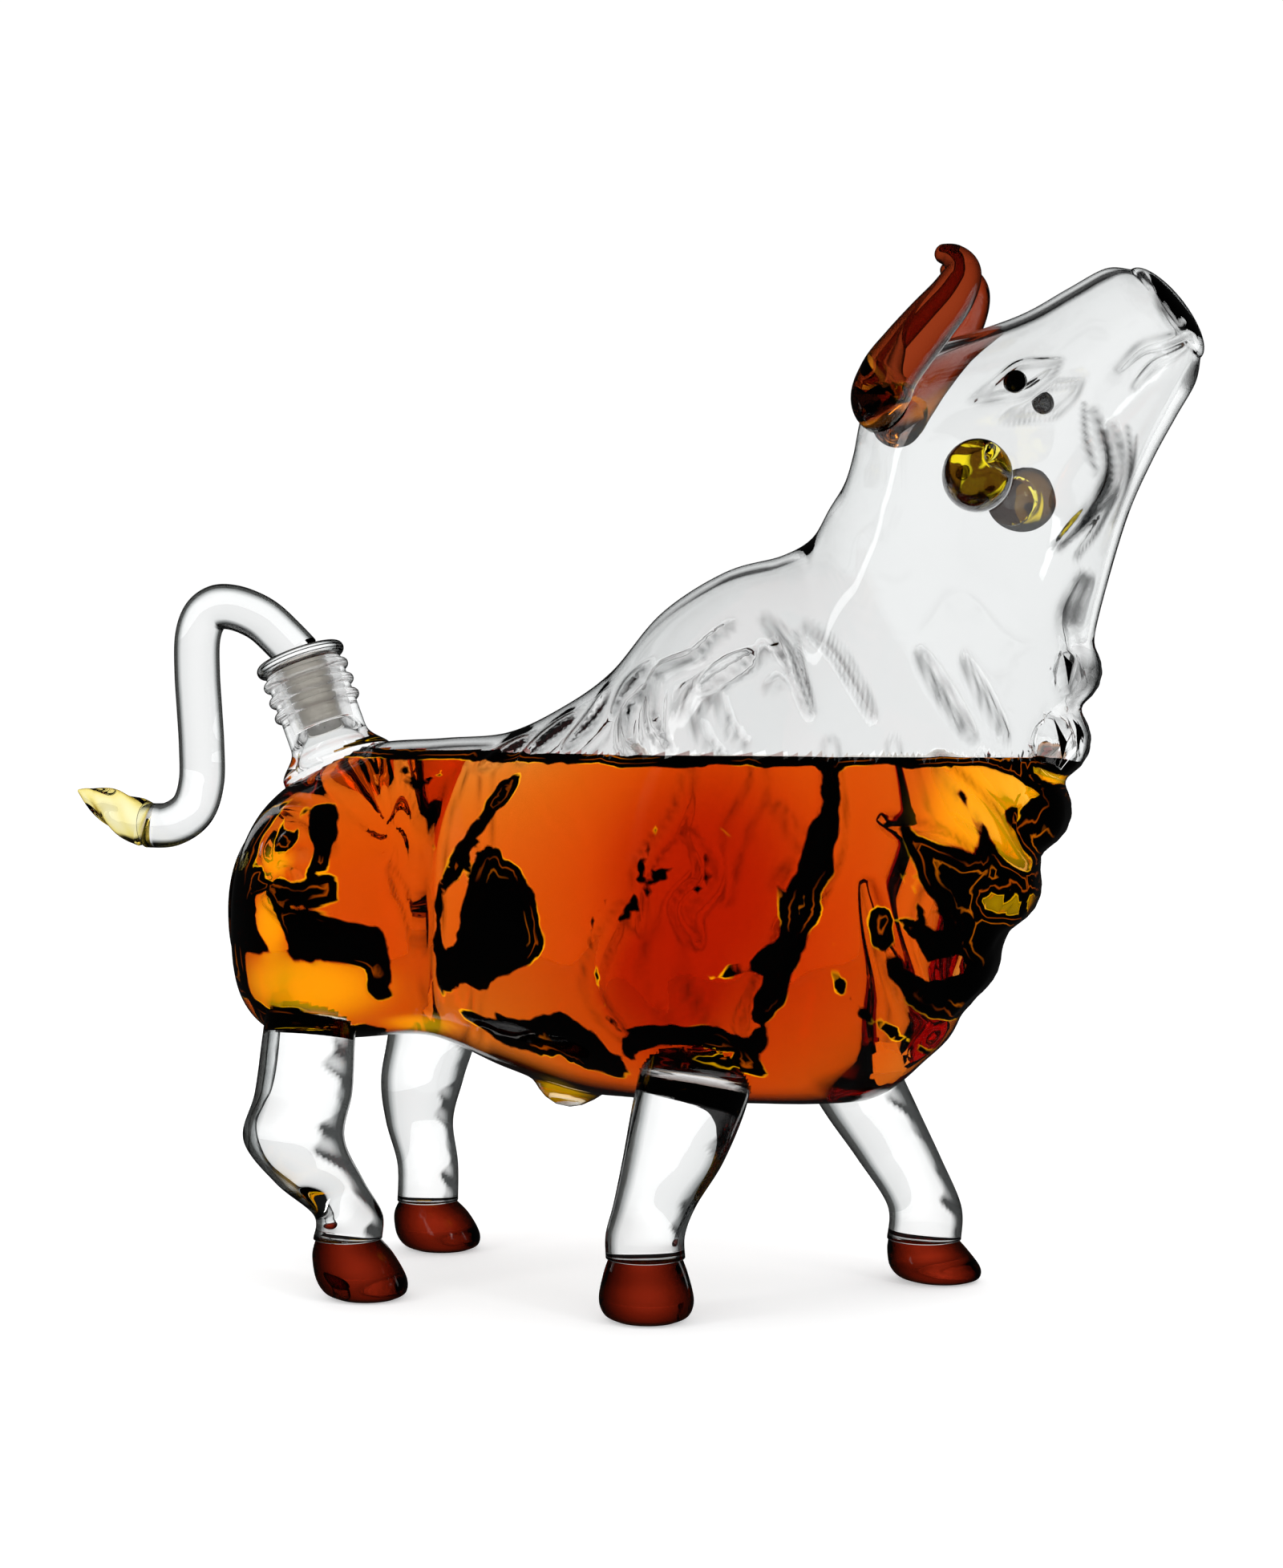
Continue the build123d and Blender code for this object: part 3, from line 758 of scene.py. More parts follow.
@dataclass(frozen=True)
class Swell:
    """A soft mass or hollow of the relief: centre and reaches on the side view, and its height."""

    x: float
    z: float
    reach_x: float
    reach_z: float
    height: float

    def reaches(self, x: np.ndarray, z: np.ndarray) -> np.ndarray:
        """Square of the distance from the centre, counted in reaches."""
        along, up = (x - self.x) / self.reach_x, (z - self.z) / self.reach_z
        return along * along + up * up


@dataclass(frozen=True)
class Whorl:
    """A whorl of hair: a bud in a ring of petals that swirl with their distance, lengths in mm."""

    x: float
    z: float
    petals: float = 6.0
    swirl: float = 0.5
    ring_radius: float = 5.0
    ring_breadth: float = 4.0
    ring_height: float = 1.6
    bud_radius: float = 1.6
    bud_height: float = 1.2

    def rise(self, x: np.ndarray, z: np.ndarray) -> np.ndarray:
        """Height of the whorl at points of the side view."""
        dx, dz = x - self.x, z - self.z
        far = np.hypot(dx, dz)
        petals = 0.5 + 0.5 * np.cos(self.petals * np.arctan2(dz, dx) + far * self.swirl)
        ring = self.ring_height * petals * np.exp(-(((far - self.ring_radius) / self.ring_breadth) ** 2))
        return ring + self.bud_height * np.exp(-((far / self.bud_radius) ** 2))


@dataclass
class BlownBody:
    """The hollow body: rings between the top line and the low line, with the mane, folds and face."""

    wall: float = 2.6
    rump_depth: float = 4.5
    muzzle_depth: float = 4.8
    drink_level: float = 134.6
    # How far the drink keeps off the wall, so that the two skins are not one
    drink_gap: float = 0.06
    half_breadth: float = 46.6
    rows: int = 270
    columns: int = 230
    # Share of those rows and columns, and of the relief, that the inside of the wall has
    inner_share: float = 0.7
    inner_relief: float = 0.3
    # Turns, in degrees, of the rings that round off the two ends
    end_turns: tuple[float, float, int] = (87.0, 6.0, 12)
    # Rings as shares of length and height, top x and z, low x and z, then half width as a share of
    # the body width, fullness and narrowing
    stations: tuple[tuple[float, ...], ...] = (
        (-0.311, 0.450, -0.310, 0.290, 0.240, 2.4, 0.02),
        (-0.291, 0.483, -0.294, 0.258, 0.345, 3.0, 0.05),
        (-0.256, 0.511, -0.258, 0.241, 0.420, 3.6, 0.08),
        (-0.207, 0.535, -0.207, 0.242, 0.440, 3.6, 0.10),
        (-0.140, 0.541, -0.140, 0.243, 0.400, 2.5, 0.10),
        (-0.080, 0.547, -0.073, 0.212, 0.395, 2.1, 0.10),
        (-0.027, 0.574, -0.013, 0.194, 0.435, 2.2, 0.14),
        (0.017, 0.609, 0.040, 0.192, 0.480, 2.5, 0.20),
        (0.060, 0.665, 0.093, 0.192, 0.500, 2.6, 0.24),
        (0.113, 0.702, 0.147, 0.192, 0.495, 2.6, 0.26),
        (0.160, 0.716, 0.200, 0.193, 0.475, 2.4, 0.24),
        (0.187, 0.733, 0.241, 0.200, 0.445, 2.2, 0.18),
        (0.203, 0.763, 0.277, 0.234, 0.410, 2.0, 0.12),
        (0.215, 0.786, 0.315, 0.296, 0.375, 2.0, 0.06),
        (0.222, 0.813, 0.349, 0.370, 0.340, 2.0, 0.00),
        (0.227, 0.844, 0.376, 0.447, 0.310, 2.0, -0.05),
        (0.236, 0.877, 0.395, 0.529, 0.285, 2.0, -0.08),
        (0.257, 0.899, 0.408, 0.603, 0.270, 2.0, -0.10),
        (0.287, 0.912, 0.421, 0.669, 0.262, 2.0, -0.10),
        (0.323, 0.922, 0.440, 0.745, 0.248, 2.0, -0.08),
        (0.360, 0.936, 0.459, 0.796, 0.218, 2.1, -0.04),
        (0.393, 0.956, 0.477, 0.835, 0.190, 2.2, 0.00),
        (0.423, 0.973, 0.492, 0.866, 0.172, 2.3, 0.02),
        (0.443, 0.971, 0.496, 0.889, 0.146, 2.3, 0.02),
    )
    swellings: tuple[Swell, ...] = (
        Swell(-67.5, 87.4, 16.5, 30.8, 4.2),
        Swell(34.5, 84.8, 18.0, 33.4, 3.4),
        Swell(-40.5, 102.8, 10.5, 38.6, -2.9),
        Swell(94.5, 177.3, 10.5, 15.4, -1.8),
        Swell(112.5, 205.6, 9.0, 9.0, 1.3),
    )
    # Locks of the mane, folds of shoulder, flank, chest, throat and jaw, lids, nostril and mouth
    ridges: tuple[Ridge, ...] = (
        Ridge(((40.7, 166.2), (36.7, 162.5), (32.5, 158.0), (24.2, 154.7), (23.4, 148.2), (24.8, 141.4),
            (28.2, 137.3)), 2.0, 1.8),
        Ridge(((20.7, 156.8), (15.7, 151.6), (12.8, 145.5)), 1.6, 1.8),
        Ridge(((21.3, 150.7), (17.0, 145.5), (17.9, 138.1), (21.7, 134.0)), 1.8, 1.8),
        Ridge(((8.2, 150.1), (5.3, 143.3), (-0.3, 137.3)), 1.8, 1.9),
        Ridge(((-1.5, 144.1), (-7.9, 138.6), (-13.6, 133.3)), 1.8, 2.0),
        Ridge(((-14.3, 138.6), (-24.6, 131.9)), 1.5, 2.0),
        Ridge(((49.3, 167.4), (55.8, 160.4), (62.9, 145.3)), -1.5, 2.2),
        Ridge(((46.6, 158.6), (36.3, 151.8)), 1.2, 1.8),
        Ridge(((88.0, 158.7), (92.8, 150.3), (99.4, 139.1)), 1.4, 2.0),
        Ridge(((68.2, 137.2), (69.2, 115.0), (60.6, 94.4), (52.9, 77.4), (51.0, 69.8)), -2.2, 3.4),
        Ridge(((20.8, 99.1), (13.8, 87.4), (12.7, 77.8), (19.8, 68.5)), -1.4, 3.0),
        Ridge(((-30.4, 131.2), (-33.1, 113.5), (-32.5, 93.9), (-34.7, 72.2)), -1.4, 3.0),
        Ridge(((37.3, 116.5), (41.2, 107.1), (35.4, 99.5), (39.3, 92.0)), 1.4, 2.4),
        Ridge(((23.5, 95.4), (25.5, 108.8), (33.4, 120.2), (35.3, 131.5)), -1.3, 2.6),
        Ridge(((-75.9, 121.0), (-64.9, 119.1), (-58.4, 111.3)), 1.4, 2.4),
        Ridge(((-73.8, 99.1), (-65.0, 93.3), (-60.7, 85.4)), 1.4, 2.4),
        Ridge(((77.0, 104.8), (80.9, 89.6), (88.7, 74.7), (102.0, 78.9)), 2.0, 2.8),
        Ridge(((80.9, 120.1), (94.3, 114.5), (102.0, 99.6), (98.2, 86.3)), 2.0, 2.6),
        Ridge(((92.4, 133.4), (101.9, 122.2), (109.5, 109.1)), 2.0, 2.6),
        Ridge(((98.8, 217.6), (104.3, 221.8), (109.5, 225.6), (114.6, 226.0), (118.6, 226.3)), 1.0, 1.1),
        Ridge(((98.8, 217.6), (105.0, 218.4), (111.0, 219.0), (116.0, 222.5), (118.6, 226.3)), 0.8, 1.1),
        Ridge(((139.4, 244.1), (142.2, 238.4), (144.8, 233.6)), -1.3, 1.6),
        Ridge(((150.0, 235.0), (143.0, 231.0), (137.0, 229.0), (132.0, 224.0)), -1.2, 1.2),
        Ridge(((126.7, 214.4), (129.0, 207.2), (129.4, 201.1), (127.3, 195.3), (118.3, 183.7)), -1.0, 1.5),
        Ridge(((123.0, 176.6), (119.3, 167.3), (121.2, 156.0), (119.4, 148.5)), -1.4, 1.8),
    )
    whorl: Whorl = Whorl(-71.4, 107.0)
    # How far a face looks sideways where the relief, and where its dark lines, start and are full
    relief_flank: tuple[float, float] = (0.08, 0.45)
    shade_flank: tuple[float, float] = (0.15, 0.5)
    # How far the rounds of a joined piece, and of the throat inside, are drawn in, in mm
    joint_inset: float = 0.6
    throat_inset: float = 3.0
    # Painted shade on the clear glass: dark patches on the nostril, and on two bumps under the throat
    shade_patches: tuple[Line, ...] = (
        ((137.5, 246.5), (141.0, 246.0), (144.5, 240.5), (147.2, 235.0), (145.0, 232.6), (142.0, 236.0),
            (138.5, 241.0)),
        ((120.5, 176.5), (124.0, 178.0), (123.5, 170.0), (120.5, 163.0), (118.0, 166.0)),
        ((117.5, 158.0), (120.0, 160.0), (124.0, 151.0), (122.0, 143.0), (118.5, 147.0)),
    )
    # Painted shade along folds of the jaw, the shoulder and the mane: run on the side view and half breadth,
    # in mm
    jaw_lines: tuple[tuple[Line, float], ...] = (
        (((126.7, 214.4), (129.0, 207.2), (129.4, 201.1), (127.3, 195.3), (123.3, 188.4), (118.3, 183.7)),
            1.3),
        (((124.4, 216.2), (124.8, 208.3), (126.9, 200.3)), 0.4),
        (((133.7, 211.0), (134.1, 204.0), (132.7, 196.9), (129.9, 189.9)), 0.5),
        (((40.7, 166.2), (36.7, 162.5), (32.5, 158.0), (24.2, 154.7), (23.4, 148.2), (28.2, 137.3)), 0.35),
        (((20.7, 156.8), (15.7, 151.6), (12.8, 145.5)), 0.5),
        (((21.3, 150.7), (17.0, 145.5), (17.9, 138.1)), 0.4),
        (((88.0, 158.7), (92.8, 150.3), (99.4, 139.1)), 0.35),
        (((49.3, 167.4), (55.8, 160.4), (62.9, 145.3)), 0.35),
    )
    # Painted gold light where the drink is thin, and painted shade, darker and redder, where it is deepest
    gold_glow: tuple[Swell, ...] = (
        Swell(-64.0, 78.0, 17.0, 8.0, 1.0),
        Swell(-40.0, 68.5, 9.0, 2.0, 0.9),
        Swell(102.0, 122.0, 12.0, 16.0, 1.0),
        Swell(115.5, 130.0, 8.0, 5.0, 0.9),
        Swell(104.5, 100.5, 5.0, 4.0, 0.7),
        Swell(-7.0, 52.5, 6.0, 3.0, 1.0),
        Swell(-73.0, 93.0, 5.0, 8.0, 1.0),
        Swell(-73.0, 108.0, 4.0, 4.0, 0.9),
    )
    red_shade: tuple[Swell, ...] = (
        Swell(40.0, 104.0, 24.0, 30.0, 1.0),
        Swell(28.0, 78.0, 16.0, 14.0, 0.8),
        Swell(100.0, 100.0, 9.0, 20.0, 0.5),
    )
    # Painted shade under the jaw and down the throat, where thick glass looks dark from the side
    throat_line: Line = (
        (150.0, 226.0), (146.5, 215.0), (141.5, 203.0), (136.0, 189.0), (131.0, 176.0), (126.5, 160.0),
        (125.0, 144.0),
    )
    # Painted shade in black strokes along folds of the wetted wall: run on the side view and half breadth, in
    # mm
    strokes: tuple[tuple[Line, float], ...] = (
        (((17.1, 102.2), (11.8, 94.9), (12.6, 84.8), (17.1, 72.0), (22.0, 66.4)), 0.4),
        (((32.9, 119.6), (35.9, 113.9), (32.1, 108.2), (27.7, 105.3), (25.0, 95.2)), 0.8),
        (((27.4, 118.1), (24.7, 109.5), (23.2, 100.9), (20.2, 96.5)), 0.6),
        (((37.3, 116.5), (41.2, 107.1), (35.4, 99.5), (39.3, 92.0)), 0.2),
        (((-12.0, 131.6), (-16.0, 127.3), (-22.8, 116.2), (-27.8, 106.8), (-31.5, 98.7), (-31.2, 75.8)),
            2.6),
        (((-13.0, 130.6), (-18.0, 124.0), (-22.5, 116.0)), 3.2),
        (((42.0, 118.0), (52.0, 112.0), (58.0, 101.0), (56.0, 92.0)), 0.2),
        (((78.6, 119.8), (82.2, 111.3), (85.8, 102.9), (87.9, 95.9)), 0.4),
        (((69.0, 91.4), (69.7, 82.9), (75.5, 73.2), (85.6, 63.6)), 0.9),
        (((-47.1, 131.4), (-41.4, 126.6), (-34.5, 131.5)), 0.6),
        (((-35.8, 122.8), (-36.1, 116.1), (-33.6, 110.7)), 0.4),
        (((11.1, 79.8), (16.6, 70.8), (20.1, 65.6)), 0.4),
    )
    # Curls down the throat and chest, and the sheath under the belly: centre, radius, half length
    rolls: Rows = (
        (117.6, 155.0, 8.0, 12.0),
        (114.0, 138.5, 9.0, 13.5),
        (108.9, 121.6, 9.5, 14.3),
        (101.1, 103.3, 10.0, 15.0),
        (91.5, 85.8, 9.5, 14.3),
        (81.0, 71.7, 9.0, 13.5),
        (-7.2, 54.5, 9.0, 10.8),
    )
    # How softly the curls blend into the skin, and how far beyond their radius they still pull it, in mm
    roll_blend: float = 1.6
    roll_reach: float = 8.0
    # Black pools of painted shade that the folds of the glass throw on the drink: outlines on the side view,
    # in mm
    pools: tuple[Line, ...] = (
        ((-21.3, 113.3), (-17.1, 112.6), (-11.4, 108.1), (-4.3, 101.9), (-2.3, 95.3), (-1.5, 88.7),
            (-5.7, 84.8), (-14.2, 82.3), (-18.5, 78.6), (-25.0, 78.4), (-29.8, 75.9), (-30.8, 83.9),
            (-26.9, 89.4), (-23.4, 104.2)),
        ((-80.9, 105.7), (-75.6, 107.9), (-68.8, 103.1), (-67.3, 97.7), (-58.3, 95.1), (-46.4, 91.6),
            (-44.9, 87.2), (-45.2, 74.3), (-49.7, 73.2), (-50.5, 81.6), (-59.8, 83.8), (-68.8, 85.9),
            (-84.1, 84.8), (-88.7, 87.5)),
        ((-73.7, 122.3), (-77.5, 118.1), (-80.6, 111.1), (-81.4, 101.3), (-83.0, 92.9), (-81.5, 83.2),
            (-79.9, 73.5), (-92.0, 73.3), (-96.0, 101.1), (-86.0, 118.0)),
        ((-67.2, 119.7), (-61.9, 121.1), (-59.0, 115.6), (-59.7, 107.4), (-64.2, 103.9), (-62.8, 110.1),
            (-65.0, 115.6)),
        ((-74.0, 104.9), (-66.0, 103.9), (-57.5, 104.3), (-56.5, 99.0), (-64.3, 95.0), (-72.0, 98.0)),
        ((-75.8, 116.1), (-71.2, 122.3), (-68.2, 118.9), (-69.7, 109.9), (-74.3, 108.5)),
        ((-82.0, 74.9), (-74.9, 72.4), (-67.4, 71.8), (-59.8, 68.3), (-50.6, 70.0), (-52.4, 63.0),
            (-55.1, 58.0), (-80.0, 60.0)),
        ((-28.8, 73.5), (-20.1, 72.0), (-7.2, 70.8), (2.7, 74.1), (12.5, 68.2), (18.8, 63.8), (19.5, 58.5),
            (4.1, 61.6), (-15.8, 63.5), (-27.4, 70.1)),
        ((17.0, 69.1), (25.6, 71.1), (40.6, 72.9), (50.7, 70.4), (51.4, 60.9), (33.9, 62.9), (18.1, 62.1)),
        ((63.9, 136.0), (69.7, 136.0), (69.9, 119.9), (68.5, 107.2), (65.1, 97.0), (62.0, 88.7),
            (58.3, 78.7), (53.2, 67.1), (48.8, 62.4), (49.5, 72.7), (54.4, 85.6), (42.9, 82.5), (40.6, 84.1),
            (51.7, 88.4), (57.6, 94.5), (58.3, 102.8), (61.9, 114.1), (66.0, 121.9), (66.0, 128.3)),
        ((82.0, 120.8), (87.1, 116.9), (98.5, 112.1), (99.9, 117.0), (94.2, 131.1), (92.8, 136.0),
            (128.0, 136.0), (124.0, 117.3), (119.3, 107.4), (117.4, 99.0), (111.7, 89.0), (107.7, 82.0),
            (101.0, 74.5), (92.9, 70.6), (85.0, 75.7), (79.2, 85.5), (76.1, 96.1), (77.3, 100.8),
            (82.8, 98.4), (91.4, 92.2), (92.6, 95.7), (88.5, 102.7), (85.9, 111.2)),
    )
    # Openings in the pools where the light comes through again
    gaps: tuple[Line, ...] = (
        ((92.9, 132.5), (98.1, 126.1), (102.1, 118.4), (105.2, 110.7), (108.4, 108.1), (107.5, 112.1),
            (104.7, 119.1), (104.4, 122.6), (107.3, 123.5), (112.5, 119.6), (112.0, 124.7), (105.2, 130.4),
            (100.2, 134.2)),
        ((109.4, 133.6), (114.4, 128.0), (119.2, 127.5), (117.0, 130.8), (121.1, 133.4)),
        ((81.8, 95.6), (85.4, 91.5), (87.6, 85.9), (93.3, 88.2), (95.0, 84.7), (87.6, 81.6), (83.2, 85.8)),
        ((100.3, 102.8), (105.3, 103.6), (108.8, 100.9), (108.4, 96.7), (105.3, 98.7), (101.7, 99.3)),
        ((-77.7, 99.0), (-74.3, 99.9), (-69.8, 93.3), (-68.0, 87.2), (-71.3, 86.1), (-76.6, 91.8)),
        ((-76.1, 108.4), (-73.1, 109.9), (-70.9, 106.9), (-72.5, 103.7), (-75.8, 105.0)),
        ((-72.0, 120.3), (-69.7, 116.8), (-71.5, 114.7), (-73.9, 116.8)),
        ((22.9, 64.5), (33.9, 67.2), (44.7, 65.3), (35.2, 63.7)),
    )

    def __post_init__(self) -> None:
        quality = Quality.FULL
        self.rows = int(self.rows * quality.value)
        self.columns = int(self.columns * quality.value) // 2 * 2

    def flank_rise(self, x: np.ndarray, z: np.ndarray) -> np.ndarray:
        """Sum of the soft masses: each is its height times e to the minus squared reaches."""
        return sum(swell.height * np.exp(-swell.reaches(x, z)) for swell in self.swellings)

    def rings(
        self, stations: np.ndarray, grow: float, shrink: np.ndarray, shift: np.ndarray, count: int
    ) -> np.ndarray:
        """Points of rings: a half ellipse over a fuller half, on the plane of top and low point.

        Height is the half height times sine to a power, breadth the half width times cosine to
        the same power; the power is 1 above and 2 over the fullness below. The points are then
        moved along each ring to lie at even steps.

        Args:
            stations: One row a ring: top x and z, low x and z, half width, fullness, narrowing.
            grow: How far the ring is grown outwards.
            shrink: Share that each ring is drawn in to.
            shift: How far each ring is moved along its axis.
            count: Points a ring.

        Returns:
            An array of rings of points.
        """
        turn = np.radians(np.linspace(-90.0, 270.0, 4 * count + 1))[None, :]
        side, rise = np.cos(turn), np.sin(turn)
        top = np.stack([stations[:, 0], 0 * stations[:, 0], stations[:, 1]], axis=-1)
        low = np.stack([stations[:, 2], 0 * stations[:, 0], stations[:, 3]], axis=-1)
        middle = (top + low) / 2.0
        half = np.linalg.norm(top - low, axis=-1) / 2.0
        upward = unit(top - low)
        along = np.cross(np.array([0.0, 1.0, 0.0]), upward)
        power = np.where(rise >= 0, 1.0, 2.0 / stations[:, 5:6])
        up = half[:, None] * np.abs(rise) ** power * np.sign(rise)
        out = stations[:, 4:5] * np.abs(side) ** power * (1.0 - stations[:, 6:7] * rise)
        level = middle[:, None] + upward[:, None] * up[..., None]
        out = out + self.flank_rise(level[..., 0], level[..., 2]) * np.abs(side)
        flat = np.stack([np.sign(side) * out + grow * side, up + grow * rise], axis=-1)
        steps = np.linalg.norm(np.diff(flat, axis=1), axis=-1)
        run = np.concatenate([np.zeros((len(flat), 1)), np.cumsum(steps, axis=1)], axis=1)
        even = np.linspace(0.0, 1.0, count + 1)[:-1]
        across, lift = (
            np.stack([np.interp(even * r[-1], r, f[:, k]) for r, f in zip(run, flat)]) * shrink[:, None]
            for k in range(2)
        )
        points = middle[:, None] + upward[:, None] * lift[..., None] + along[:, None] * shift[:, None, None]
        points[..., 1] += across
        return points

    def skin(self, grow: float, rows: int, count: int) -> Skin:
        """The body as one closed skin, grown by grow, with its ends rounded like a quarter circle.

        Args:
            grow: How far the skin is grown outwards.
            rows: Rings between the two ends.
            count: Points a ring.

        Returns:
            The skin.
        """
        scale = np.array([FIGURE_LENGTH, FIGURE_HEIGHT, FIGURE_LENGTH, FIGURE_HEIGHT, BODY_WIDTH, 1.0, 1.0])
        body = smooth_rows(np.array(self.stations) * scale, rows)
        turns = np.radians(np.linspace(*self.end_turns))
        ends = len(turns)
        stations = np.vstack([np.repeat(body[:1], ends, axis=0), body, np.repeat(body[-1:], ends, axis=0)])
        shrink = np.concatenate([np.cos(turns), np.ones(rows), np.cos(turns[::-1])])
        rump = -(self.rump_depth + grow) * np.sin(turns)
        muzzle = (self.muzzle_depth + grow) * np.sin(turns[::-1])
        rings = self.rings(stations, grow, shrink, np.concatenate([rump, np.zeros(rows), muzzle]), count)
        return Skin(rings, rings[0].mean(axis=0), rings[-1].mean(axis=0))

    def with_relief(self, skin: Skin, share: float) -> Skin:
        """Raise the ridges along the skin's normals, each a bell of the distance to its run.

        Args:
            skin: The plain skin.
            share: Share of the full relief.

        Returns:
            The skin with its relief.
        """
        x, z = skin.rings[..., 0], skin.rings[..., 2]
        out = skin.normals()
        lift = np.zeros_like(x)
        for ridge in self.ridges:
            gap, full = ridge.nearness(x, z)
            lift = lift + ridge.height * full * np.exp(-gap * gap)
        flank = smooth_step(*self.relief_flank, np.abs(out[..., 1]))
        lift = lift * flank + self.whorl.rise(x, z) * flank
        return skin.with_rings(skin.rings + out * (lift * share)[..., None])

    def with_rolls(self, skin: Skin, inset: float) -> Skin:
        """Push the skin out of the round-ended rolls, away from each roll's axis, softly blended.

        Args:
            skin: The skin before.
            inset: How far the rolls are drawn in, for the inner wall.

        Returns:
            The skin after.
        """
        rings, blend = skin.rings.copy(), self.roll_blend
        for x, z, radius, half_length in self.rolls:
            offset = rings[..., [0, 2]] - np.array([x, z])
            far = np.linalg.norm(offset, axis=-1)
            beyond = np.maximum(np.abs(rings[..., 1]) - (half_length - radius), 0.0)
            round_radius = np.sqrt(np.maximum((radius - inset) ** 2 - beyond**2, 0.0))
            wanted = blend * np.logaddexp(far / blend, round_radius / blend)
            wanted = np.where(far < radius + self.roll_reach, wanted - far, 0.0) * (round_radius > 0)
            rings[..., [0, 2]] += unit(offset) * wanted[..., None]
        return skin.with_rings(rings)

    def outer_skin(self) -> Skin:
        """The outside of the body with its curls and relief."""
        plain = self.skin(0.0, self.rows, self.columns)
        return kept_within(self.with_relief(self.with_rolls(plain, 0.0), 1.0), self.half_breadth)

    def inner_skin(self, inset: float) -> Skin:
        """The inside of the wall, which follows the relief only faintly."""
        rows, columns = int(self.rows * self.inner_share), int(self.columns * self.inner_share) // 2 * 2
        plain = self.skin(-self.wall - inset, rows, columns)
        return self.with_relief(self.with_rolls(plain, self.wall + inset), self.inner_relief)

    def build(self, finishes: Finishes, outer: Skin, joined: list[np.ndarray]) -> None:
        """Make the hollow body.

        Args:
            finishes: Materials of the decanter.
            outer: Outside of the body.
            joined: Centre and radius rows of every piece that is fused to it, the neck's last.
        """
        inner = self.inner_skin(0.0)
        middles = outer.quad_centres()
        outer_finish = np.zeros(len(middles), dtype=int)
        for rounds in joined:
            outer_finish[inside_rounds(middles, rounds, self.joint_inset)] = 2
        middles = inner.quad_centres()
        inner_finish = np.where(middles[:, 2] < self.drink_level, 2, 1)
        inner_finish[inside_rounds(middles, joined[-1], self.throat_inset)] = 2
        make_piece(
            "blown_body",
            [Patch(outer, outer_finish), Patch(inner, inner_finish, hollow=True)],
            [finishes.wall, finishes.inner_wall, finishes.joint],
            VESSEL,
            ("barrel_shell", "head_shell"),
            ("fold_shade", self.fold_shade(outer)),
        )

    def fold_shade(self, skin: Skin) -> np.ndarray:
        """Painted shade: dark lines beside the ridges, broken up along them, and dark patches on the nostrils
        and throat.
        """
        x, z = skin.rings[..., 0], skin.rings[..., 2]
        shade = np.zeros_like(x)
        # Two waves across each other break the lines up; a line lies beside the crest of its ridge
        broken = 0.5 + 0.5 * np.sin(x * 0.61 + 1.3) * np.sin(z * 0.47 + 0.4)
        line_offset, line_breadth, darkness = 0.9, 0.75, 0.82
        for ridge in self.ridges:
            gap, full = ridge.nearness(x, z)
            line = np.exp(-(((gap - line_offset) * ridge.reach * full / line_breadth) ** 2))
            shade = np.maximum(shade, darkness * line * (0.30 + 0.70 * broken))
        # Painted shade along the folds of the jaw, the shoulder and the mane
        for run, half_breadth in self.jaw_lines:
            gap, along = near_line(x, z, smooth_rows(np.array(run), 6 * len(run)))
            breadth = half_breadth * np.sin(math.pi * np.clip(along, 0.06, 0.94)) * (0.8 + 0.4 * broken)
            shade = np.maximum(shade, 1.0 - smooth_step(breadth - 0.5, breadth + 1.1, gap))
        # Painted shade on the nostril and on the bumps under the throat
        for outline in self.shade_patches:
            inside = depth_inside(x, z, outline) + (broken - 0.5) * 1.6
            shade = np.maximum(shade, smooth_step(-0.4, 0.8, inside) * (0.70 + 0.25 * broken))
        flank = smooth_step(*self.shade_flank, np.abs(skin.normals()[..., 1]))
        # Painted shade: a dark strip along the throat line
        gap, _ = near_line(x, z, np.array(self.throat_line))
        gap = gap + 0.9 * np.sin(z * 0.33) * np.sin(z * 0.11 + 2.0)
        throat = 0.85 * (1.0 - smooth_step(0.8, 2.2, gap))
        return np.clip(np.maximum(shade * flank, throat), 0.0, 1.0)

    def build_drink(self, finishes: Finishes) -> None:
        """Make the drink: the inside of the wall cut level, with the fields that paint shade and light on its
        side.

        Args:
            finishes: Materials of the decanter.
        """
        skin = self.inner_skin(self.drink_gap)
        quads, fans = skin.faces()
        mesh = bpy.data.meshes.new("drink")
        mesh.from_pydata((skin.points * MM).tolist(), [], quads.tolist() + fans.tolist())
        work = bmesh.new()
        work.from_mesh(mesh)
        cut = bmesh.ops.bisect_plane(
            work,
            geom=work.verts[:] + work.edges[:] + work.faces[:],
            plane_co=(0.0, 0.0, self.drink_level * MM),
            plane_no=(0.0, 0.0, 1.0),
            clear_outer=True,
        )
        rim = [part for part in cut["geom_cut"] if isinstance(part, bmesh.types.BMEdge)]
        for edge in rim:
            edge.smooth = False
        made = bmesh.ops.holes_fill(work, edges=rim)
        for face in work.faces:
            face.smooth = True
        for face in made["faces"]:
            face.material_index = 1
            face.smooth = False
        bmesh.ops.recalc_face_normals(work, faces=work.faces[:])
        work.to_mesh(mesh)
        work.free()
        mesh.materials.append(finishes.drink_side)
        mesh.materials.append(finishes.drink_top)
        spots = np.empty(len(mesh.vertices) * 3, dtype=np.float32)
        mesh.vertices.foreach_get("co", spots)
        x, _, z = (spots.reshape(-1, 3) / MM).T
        add_field(mesh, "pool_edge", self.pool_field(x, z))
        add_field(mesh, "gold_glow", self.spot_field(x, z, self.gold_glow))
        add_field(mesh, "red_shade", self.spot_field(x, z, self.red_shade))
        tie(add_object("drink", mesh), VESSEL, ())

    def spot_field(self, x: np.ndarray, z: np.ndarray, spots: tuple[Swell, ...]) -> np.ndarray:
        """Sum of soft spots on the side view, 0 to 1."""
        return np.clip(sum(spot.height * np.exp(-(spot.reaches(x, z) ** 2)) for spot in spots), 0.0, 1.0)

